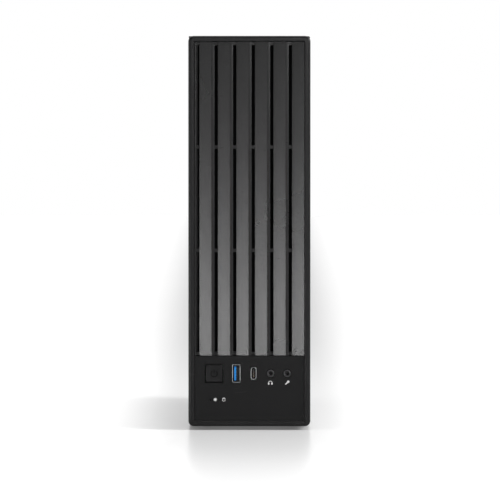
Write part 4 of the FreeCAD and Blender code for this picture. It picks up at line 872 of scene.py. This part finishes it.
class CASE_OT_sockets(bpy.types.Operator):
    """Drawn metal shells of the two flat sockets, their tongues and contacts"""

    bl_idname = "case.sockets"
    bl_label = "Flat sockets"

    def execute(self, context):
        """A shell's rings run from its back over the rounded lip and down the inside."""
        wall = 0.00034
        for name, corner in (("wide_port", 0.0008), ("small_port", 0.0021)):
            low, high = corners(f"{name}_shell")
            inset, depth = bead(low[1], wall / 2, 0.0, 0.5, 9)
            rings = [(0.0, high[1]), *zip(inset, depth), (wall, high[1])]
            table = [(low[0] + i, high[0] - i, low[2] + i, high[2] - i, corner - i, y) for i, y in rings]
            shell = grid_shell(rounded_rings(table), along=True)
            add_piece(f"{name}_mouth", [shell], "port_metal", "chassis", [f"{name}_shell"])
        self.tongue("wide_port", -0.01225, 0.0016, 0.0112, (5, 4), "blue_plastic")
        self.tongue("small_port", 0.003, 0.0008, 0.0067, (12, 12), "port_plastic")
        return {"FINISHED"}

    def tongue(self, name, left, thick, tall, contacts, material):
        """A rounded blade on its base block, and thin contact strips on both of its faces."""
        low, high = corners(f"{name}_tongue")
        middle = (low[2] + high[2]) / 2
        front = low[1]
        base_front = high[1] - 0.005
        edge = min(thick * 0.3, 0.0003)
        inset, depth = bead(front, edge, 0.25, 0.0, 5)
        right = left + thick
        foot, head = middle - tall / 2, middle + tall / 2
        table = [(left + edge * 0.99, right - edge * 0.99, foot + edge, head - edge, 0.00001, front)]
        table += [(left + i, right - i, foot + i, head - i, edge - i * 0.9, y) for i, y in zip(inset, depth)]
        table.append((left, right, foot, head, edge, base_front + 0.0001))
        shells = [grid_shell(rounded_rings(table, 4))]
        base = [(low[0], high[0], low[2], high[2], 0.0003, y) for y in (base_front, high[1])]
        shells.append(grid_shell(rounded_rings(base, 4)))
        add_piece(f"{name}_blade", shells, material, "chassis", [f"{name}_tongue"])
        strips = []
        proud = 0.00004
        for side, number in zip((left - proud, right - proud), contacts):
            half = tall / number * 0.25
            for z in middle + (np.arange(number) - (number - 1) / 2) * tall / (number + 0.5):
                strips.append(bar((side, front + 0.0015, z - half), (side + proud * 2, base_front, z + half)))
        add_piece(f"{name}_contacts", strips, "brass", "chassis")


class CASE_OT_jacks(bpy.types.Operator):
    """Round sockets: a sleeve with a rounded lip on its moulded block"""

    bl_idname = "case.jacks"
    bl_label = "Round sockets"

    def execute(self, context):
        """Rounded rectangles become circles where their radius is half their width."""
        for name in ("headphone_socket", "microphone_socket"):
            low, high = corners(name)
            x, z = (low[0] + high[0]) / 2, (low[2] + high[2]) / 2
            half = (high[0] - low[0]) / 2
            block_front = PANEL_HIGH[1] + 0.0001
            sleeve, bore, lip, flare = 0.0026, 0.0018, 0.00022, 0.00215
            end = high[1] - 0.001
            rows = [(half, 0.0006, high[1]), (half, 0.0006, block_front + 0.0003),
                    (half - 0.0003, 0.0006, block_front), (sleeve, sleeve, block_front)]
            inset, depth = bead(low[1], lip, 0.0, 0.5, 9)
            rows += [(sleeve - i, sleeve - i, y) for i, y in zip(inset, depth)]
            rows += [(flare, flare, low[1] + lip * 1.2), (bore, bore, low[1] + 0.0009), (bore, bore, end),
                     (bore * 0.05, bore * 0.05, end)]
            table = [(x - r, x + r, z - r, z + r, corner, y) for r, corner, y in rows]
            add_piece(f"{name}_body", [grid_shell(rounded_rings(table, 12))], "socket_plastic", "chassis",
                      [name])
        return {"FINISHED"}


class CASE_OT_symbols(bpy.types.Operator):
    """Printed symbols beside the sockets and the lights"""

    bl_idname = "case.symbols"
    bl_label = "Symbols"

    def execute(self, context):
        """Bands along arcs and lines, and filled outlines, a fiftieth of a millimetre proud of the panel."""
        proud = PANEL_LOW[1] - 0.00002
        back = PANEL_LOW[1] + 0.0001
        phones = np.array((0.0168, 0.0379))
        band = arc(phones, 0.00145, 0.0, 0.5, 25)
        shells = [ribbon(band, 0.0004, proud, back)]
        for side in (-1, 1):
            low = phones + (side * 0.0013 - 0.00055, -0.0014)
            cup = [(low[0], low[0] + 0.0011, low[1], low[1] + 0.0016, 0.0004, y) for y in (back, proud)]
            shells.append(grid_shell(rounded_rings(cup, 4)))
        talk = np.array((0.0304, 0.0381))
        slant = np.array((0.72, 0.69))
        head = talk + slant * 0.0011
        shells.append(prism(arc(head, 0.00095, 0.0, 1.0, 33)[:-1], 1, back, proud))
        stem = np.array([talk - slant * 0.0021, talk + slant * 0.0006])
        shells.append(ribbon(stem, np.array([0.0007, 0.0013]), proud, back))
        light = np.array((-0.0274, 0.0245))
        shells.append(prism(arc(light, 0.00105, 0.0, 1.0, 33)[:-1], 1, back, proud))
        for turn in np.arange(8) / 8 * TAU:
            aim = np.array((np.cos(turn), np.sin(turn)))
            ray = np.array([light + aim * 0.0012, light + aim * 0.00155])
            shells.append(ribbon(ray, 0.0003, proud, back))
        drum = np.array((-0.0205, 0.0245))
        ring = np.array((0.00095, 0.00035))
        line = 0.00028
        lid = drum + (0, 0.001) + arc((0, 0), 1.0, 0.0, 1.0, 33)[:-1] * ring
        shells.append(ribbon(lid, line, proud, back, closed=True))
        foot = drum - (0, 0.0009) + arc((0, 0), 1.0, 0.5, 1.0, 17) * ring
        side = np.concatenate([[foot[0] + (0, 0.0019)], foot, [foot[-1] + (0, 0.0019)]])
        shells.append(ribbon(side, line, proud, back))
        add_piece("panel_symbols", shells, "symbol_print", "chassis", sharp=30.0)
        return {"FINISHED"}


# Small parts

class CASE_OT_feet(bpy.types.Operator):
    """Rubber feet with a dimple, a ring that stands on the floor and a rounded rim"""

    bl_idname = "case.feet"
    bl_label = "Feet"

    def execute(self, context):
        """Each is a profile of (radius, height) turned about Z."""
        for name in FINISHES["foot_rubber"]:
            low, high = corners(name)
            outer = (high[0] - low[0]) / 2
            top = high[2]
            sole = outer - 0.001
            round_off = [(sole - 0.0006 + 0.0006 * np.sin(a), 0.0006 - 0.0006 * np.cos(a))
                         for a in np.linspace(0, np.pi / 2, 6)]
            profile = [(1e-5, 0.0009), (0.0027, 0.0009), (0.0032, 0.0006), (0.0036, 0.0)]
            profile += round_off + [(outer, top), (1e-5, top)]
            centre = ((low[0] + high[0]) / 2, (low[1] + high[1]) / 2, 0.0)
            add_piece(f"{name}_pad", [grid_shell(turned(profile, centre, axis=2, count=64))], "foot_rubber",
                      "chassis", [name])
        return {"FINISHED"}


class CASE_OT_screws(bpy.types.Operator):
    """Pan head screws of the slots, the cage, the fan and the socket board"""

    bl_idname = "case.screws"
    bl_label = "Screws"

    def execute(self, context):
        """Each solid of a node gives the place and size of one screw."""
        kinds = (
            ("slot_screws", 0, 1, 0.0017, 0.0026, 0.0008),
            ("cage_screws", 0, 1, 0.0017, 0.0026, 0.0008),
            ("fan_screws", 1, -1, 0.0021, 0.0026, 0.0014),
            ("socket_board_screws", 1, 1, 0.00125, 0.0016, 0.0008),
        )
        for name, axis, sign, shank, head, pitch in kinds:
            shells = [screw(low, high, axis, sign, shank, head, pitch) for low, high in islands(name, axis)]
            add_piece(f"{name}_cross_head", shells, "bright_screws", "chassis", [name],
                      sharp=40.0)
        return {"FINISHED"}


class CASE_OT_thumbscrews(bpy.types.Operator):
    """Knurled thumbscrews that hold the side cover"""

    bl_idname = "case.thumbscrews"
    bl_label = "Thumbscrews"

    def execute(self, context):
        """The knurl is radius = R (1 - d (1 - cos 24 t) / 2), and the top has a cross recess."""
        count = 144
        angle = np.arange(count) / count * TAU
        knurl = 1 - 0.05 * (1 - np.cos(24 * angle)) / 2
        shells = []
        for low, high in islands("cover_thumbscrews", 1):
            radius = (high[0] - low[0]) / 2
            base = (low + high) / 2
            base[1] = low[1]
            top = high[1] - low[1]
            under = top - 0.0075
            shank = 0.00165
            rows = [(1e-5, 0), (shank * 0.8, 0), (shank, 0.0004), (shank, under), (radius * 0.8, under),
                    (radius * 0.8, under + 0.0012), (radius * 0.96, under + 0.0012)]
            grip = np.linspace(under + 0.0016, top - 0.0011, 6)
            rows += [(radius, h) for h in grip]
            rows += [(radius * 0.93, top - 0.0006), (radius * 0.8, top - 0.0002), (radius * 0.74, top)]
            rows += [(1.0, top), (0.88, top - 0.0016), (1e-5, top - 0.0018)]
            factor = np.ones((len(rows), count))
            factor[7:7 + len(grip)] = knurl
            factor[-3:-1] = cross_outline(count, radius * 0.45)
            shells.append(grid_shell(turned(rows, base, 1, 1, count, factor)))
        add_piece("thumbscrews_knurled", shells, "dark_screws", "cover", ["cover_thumbscrews"])
        return {"FINISHED"}


class CASE_OT_rotor(bpy.types.Operator):
    """Fan rotor with swept and twisted blades on a rounded hub"""

    bl_idname = "case.rotor"
    bl_label = "Fan rotor"

    def execute(self, context):
        """A blade's section turns from 48 degrees at the hub to 30 at the tip and sweeps back as it goes out.

        With s from -1 to 1 along the chord and c its half length, a point lies at the angle
        a + c s cos(b) / r + sweep and at the depth c s sin(b), and the thickness falls as 1 - s^4.
        """
        size = context.scene.case_sizes
        low, high = corners("fan_rotor")
        centre = np.array((0.0, low[1], (low[2] + high[2]) / 2))
        hub, tip, deep = 0.017, (high[2] - low[2]) / 2, 0.018
        middle = low[1] + deep / 2
        span = np.linspace(0, 1, 12)[:, None]
        loop = np.linspace(0, TAU, 33)[:-1][None, :]
        s, face = np.cos(loop), np.sign(np.sin(loop))
        radius = (hub - 0.0005) + (tip - 0.0001 - hub + 0.0005) * span
        pitch = np.radians(48 - 18 * span)
        half = 0.0088 + 0.0024 * span
        camber = 0.0011 * (1 - s ** 2)
        thick = 0.0006 * (1 - s ** 4) + 0.0001
        lift = camber + face * thick
        shells = []
        along = half * s * np.cos(pitch) - lift * np.sin(pitch)
        depth = middle + half * s * np.sin(pitch) * 0.92 + lift * np.cos(pitch)
        for turn in np.arange(size.rotor_blades) / size.rotor_blades * TAU:
            angle = turn + along / radius + 0.35 * span ** 1.5
            x, z = radius * np.sin(angle), centre[2] + radius * np.cos(angle)
            shells.append(grid_shell(np.stack([x, depth, z], axis=-1)))
        bend = np.linspace(0, np.pi / 2, 7)
        profile = [(1e-5, 0.0), (0.009, 0.0), (0.0092, 0.0003), (0.0108, 0.0003), (0.011, 0.0)]
        profile += [(hub - 0.0015 + 0.0015 * np.sin(a), 0.0015 - 0.0015 * np.cos(a)) for a in bend]
        profile += [(hub, deep), (hub - 0.0015, deep), (hub - 0.0015, 0.0015), (0.0015, 0.0015),
                    (0.0015, high[1] - low[1]), (1e-5, high[1] - low[1])]
        shells.append(grid_shell(turned(profile, centre, 1, 1, 72)))
        add_piece("rotor_swept", shells, "fan_plastic", "rotor", ["fan_rotor"])
        return {"FINISHED"}


# Carried-over pieces

class CASE_OT_finishes(bpy.types.Operator):
    """Finishes of the nodes whose shape is right as it is"""

    bl_idname = "case.finishes"
    bl_label = "Finishes"

    def execute(self, context):
        for material, names in FINISHES.items():
            for name in names:
                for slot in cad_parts[name].material_slots:
                    slot.material = finish(material)
        return {"FINISHED"}


# Stage

# Name, setting that gives its power, share of that power, place, point it faces, width and height
LAMPS = (
    ("overhead_lamp", "overhead", 1.0, (0.1, -0.5, 1.7), (0, -0.1, 0.1), (1.6, 1.3)),
    ("left_lamp", "left", 1.0, (-0.6, FRONT - 0.8, 0.035), (0, FRONT, 0.05), (0.5, 0.05)),
    ("right_lamp", "right", 1.0, (0.27, FRONT - 2.0, 0.5), (0, FRONT, 0.3), (0.2, 0.2)),
    ("left_strip", "strips", 0.13, (-1.5, FRONT - 0.4, 0.5), (0, FRONT, 0.15), (0.3, 0.9)),
    ("right_strip", "strips", 1.0, (1.5, FRONT - 0.5, 0.95), (0, FRONT, 0.25), (0.6, 0.9)),
)
# Stretch of the distance from the case over which the floor brightens, and the glow at its two ends. The weak
# glow close to the case is painted shade under it and a painted reflection ahead of it.
NEAR_FADE = (0.035, 0.85, 0.13, 0.5)
FAR_FADE = (0.7, 1.7, 0.0, 0.5)
SIDE_GAIN = 12.0
FLOOR_COLOUR = (0.56, 0.56, 0.56, 1)
WHITE = (1, 1, 1, 1)


class CASE_OT_stage(bpy.types.Operator):
    """Pale floor, soft lamps, white surroundings and the camera"""

    bl_idname = "case.stage"
    bl_label = "Stage"

    def execute(self, context):
        scene = context.scene
        stage = scene.case_stage
        scene.view_settings.view_transform = "Standard"
        self.floor(scene)
        self.surroundings(scene, stage)
        for name, setting, share, place, target, size in LAMPS:
            self.lamp(scene, name, getattr(stage, setting) * share, place, target, size)
        camera = bpy.data.cameras.new("front_camera")
        camera.lens = camera.sensor_width * stage.distance / stage.field
        viewer = bpy.data.objects.new("front_camera", camera)
        viewer.location = (stage.aside, FRONT - stage.distance, stage.height)
        viewer.rotation_euler = (np.arctan2(stage.distance, stage.height - stage.aim), 0, 0)
        scene.collection.objects.link(viewer)
        scene.camera = viewer
        return {"FINISHED"}

    def floor(self, scene):
        """A level square that fades to white away from the case and keeps its shadow. Its glow is weakest
        under the case and right ahead of it, a painted darkening that stands in for the contact shadow and
        the reflection there.

        The fade follows max(gain * distance aside, distance ahead).
        """
        half = 6.0
        mesh = bpy.data.meshes.new("pale_floor")
        mesh.from_pydata([(-half, -half, 0), (half, -half, 0), (half, half, 0), (-half, half, 0)], [],
                         [(0, 1, 2, 3)])
        plane = bpy.data.objects.new("pale_floor", mesh)
        scene.collection.objects.link(plane)
        tree, shader = opened("pale_floor", Specular_IOR_Level=0.3)
        drift = use(tree, "slow_drift", {
            "Color": FLOOR_COLOUR, "Spread": 0.02, "Roughness": 0.3, "Gloss Spread": 0.03, "Scale": 3.0,
        })
        path = node(tree, "ShaderNodeLightPath").outputs
        seen = math(tree, "MAXIMUM", path["Is Camera Ray"], path["Is Glossy Ray"])
        seen = math(tree, "MAXIMUM", seen, path["Is Transmission Ray"])
        place = place_on(tree)
        sideways = math(tree, "ABSOLUTE", part_of(tree, place, "X"))
        aside = math(tree, "SUBTRACT", sideways, float(BEZEL_HIGH[0]))
        ahead = math(tree, "SUBTRACT", float(FRONT), part_of(tree, place, "Y"))
        away = math(tree, "MAXIMUM", math(tree, "MULTIPLY", aside, SIDE_GAIN), ahead)
        fade = math(tree, "ADD", ramp(tree, away, *NEAR_FADE), ramp(tree, away, *FAR_FADE))
        feed(tree, shader, {
            "Base Color": drift["Color"], "Roughness": drift["Roughness"], "Emission Color": WHITE,
            "Emission Strength": math(tree, "MULTIPLY", fade, seen),
        })
        mesh.materials.append(finish("pale_floor"))

    def surroundings(self, scene, stage):
        """White to the camera, and to gloss that looks behind the case; an even grey for the rest."""
        world = bpy.data.worlds.new("white_room")
        scene.world = world
        world.use_nodes = True
        tree = world.node_tree
        background = tree.nodes["Background"]
        path = node(tree, "ShaderNodeLightPath").outputs
        looking = node(tree, "ShaderNodeTexCoord").outputs["Generated"]
        gloss = ramp(tree, part_of(tree, looking, "Y"), -0.1, 0.3, 0.08, 1.0)
        sheen = math(tree, "MAXIMUM", path["Is Glossy Ray"], path["Is Transmission Ray"])
        shaded = node(tree, "ShaderNodeMix", {0: sheen, 2: stage.ambient, 3: gloss}).outputs[0]
        final = node(tree, "ShaderNodeMix", {0: path["Is Camera Ray"], 2: shaded, 3: 1.0}).outputs[0]
        feed(tree, background, {"Color": WHITE, "Strength": final})

    def lamp(self, scene, name, power, place, target, size):
        light = bpy.data.lights.new(name, "AREA")
        light.shape = "RECTANGLE"
        light.size, light.size_y = size
        light.energy = power
        source = bpy.data.objects.new(name, light)
        source.location = place
        source.rotation_euler = (Vector(target) - Vector(place)).to_track_quat("-Z", "Y").to_euler()
        scene.collection.objects.link(source)


class CASE_PT_panel(bpy.types.Panel):
    """Case pieces in the sidebar"""

    bl_idname = "CASE_PT_panel"
    bl_label = "Slim Computer Case"
    bl_space_type = "VIEW_3D"
    bl_region_type = "UI"
    bl_category = "Case"

    def draw(self, context):
        for made in OPERATORS:
            self.layout.operator(made.bl_idname)
        for settings in (context.scene.case_sizes, context.scene.case_colours, context.scene.case_stage):
            box = self.layout.box()
            for name in settings.__annotations__:
                box.prop(settings, name)


OPERATORS = (
    CASE_OT_surround,
    CASE_OT_louvres,
    CASE_OT_button,
    CASE_OT_sockets,
    CASE_OT_jacks,
    CASE_OT_symbols,
    CASE_OT_feet,
    CASE_OT_screws,
    CASE_OT_thumbscrews,
    CASE_OT_rotor,
    CASE_OT_finishes,
    CASE_OT_stage,
)
CLASSES = (CaseSizes, CaseColours, StageSettings) + OPERATORS + (CASE_PT_panel,)


def register():
    for kind in CLASSES:
        bpy.utils.register_class(kind)
    bpy.types.Scene.case_sizes = bpy.props.PointerProperty(type=CaseSizes)
    bpy.types.Scene.case_colours = bpy.props.PointerProperty(type=CaseColours)
    bpy.types.Scene.case_stage = bpy.props.PointerProperty(type=StageSettings)


def unregister():
    for name in ("case_sizes", "case_colours", "case_stage"):
        delattr(bpy.types.Scene, name)
    for kind in reversed(CLASSES):
        bpy.utils.unregister_class(kind)


def main():
    register()
    make_materials(bpy.context.scene.case_colours)
    for made in OPERATORS:
        group_name, call = made.bl_idname.split(".")
        getattr(getattr(bpy.ops, group_name), call)()


if __name__ == "__main__":
    main()
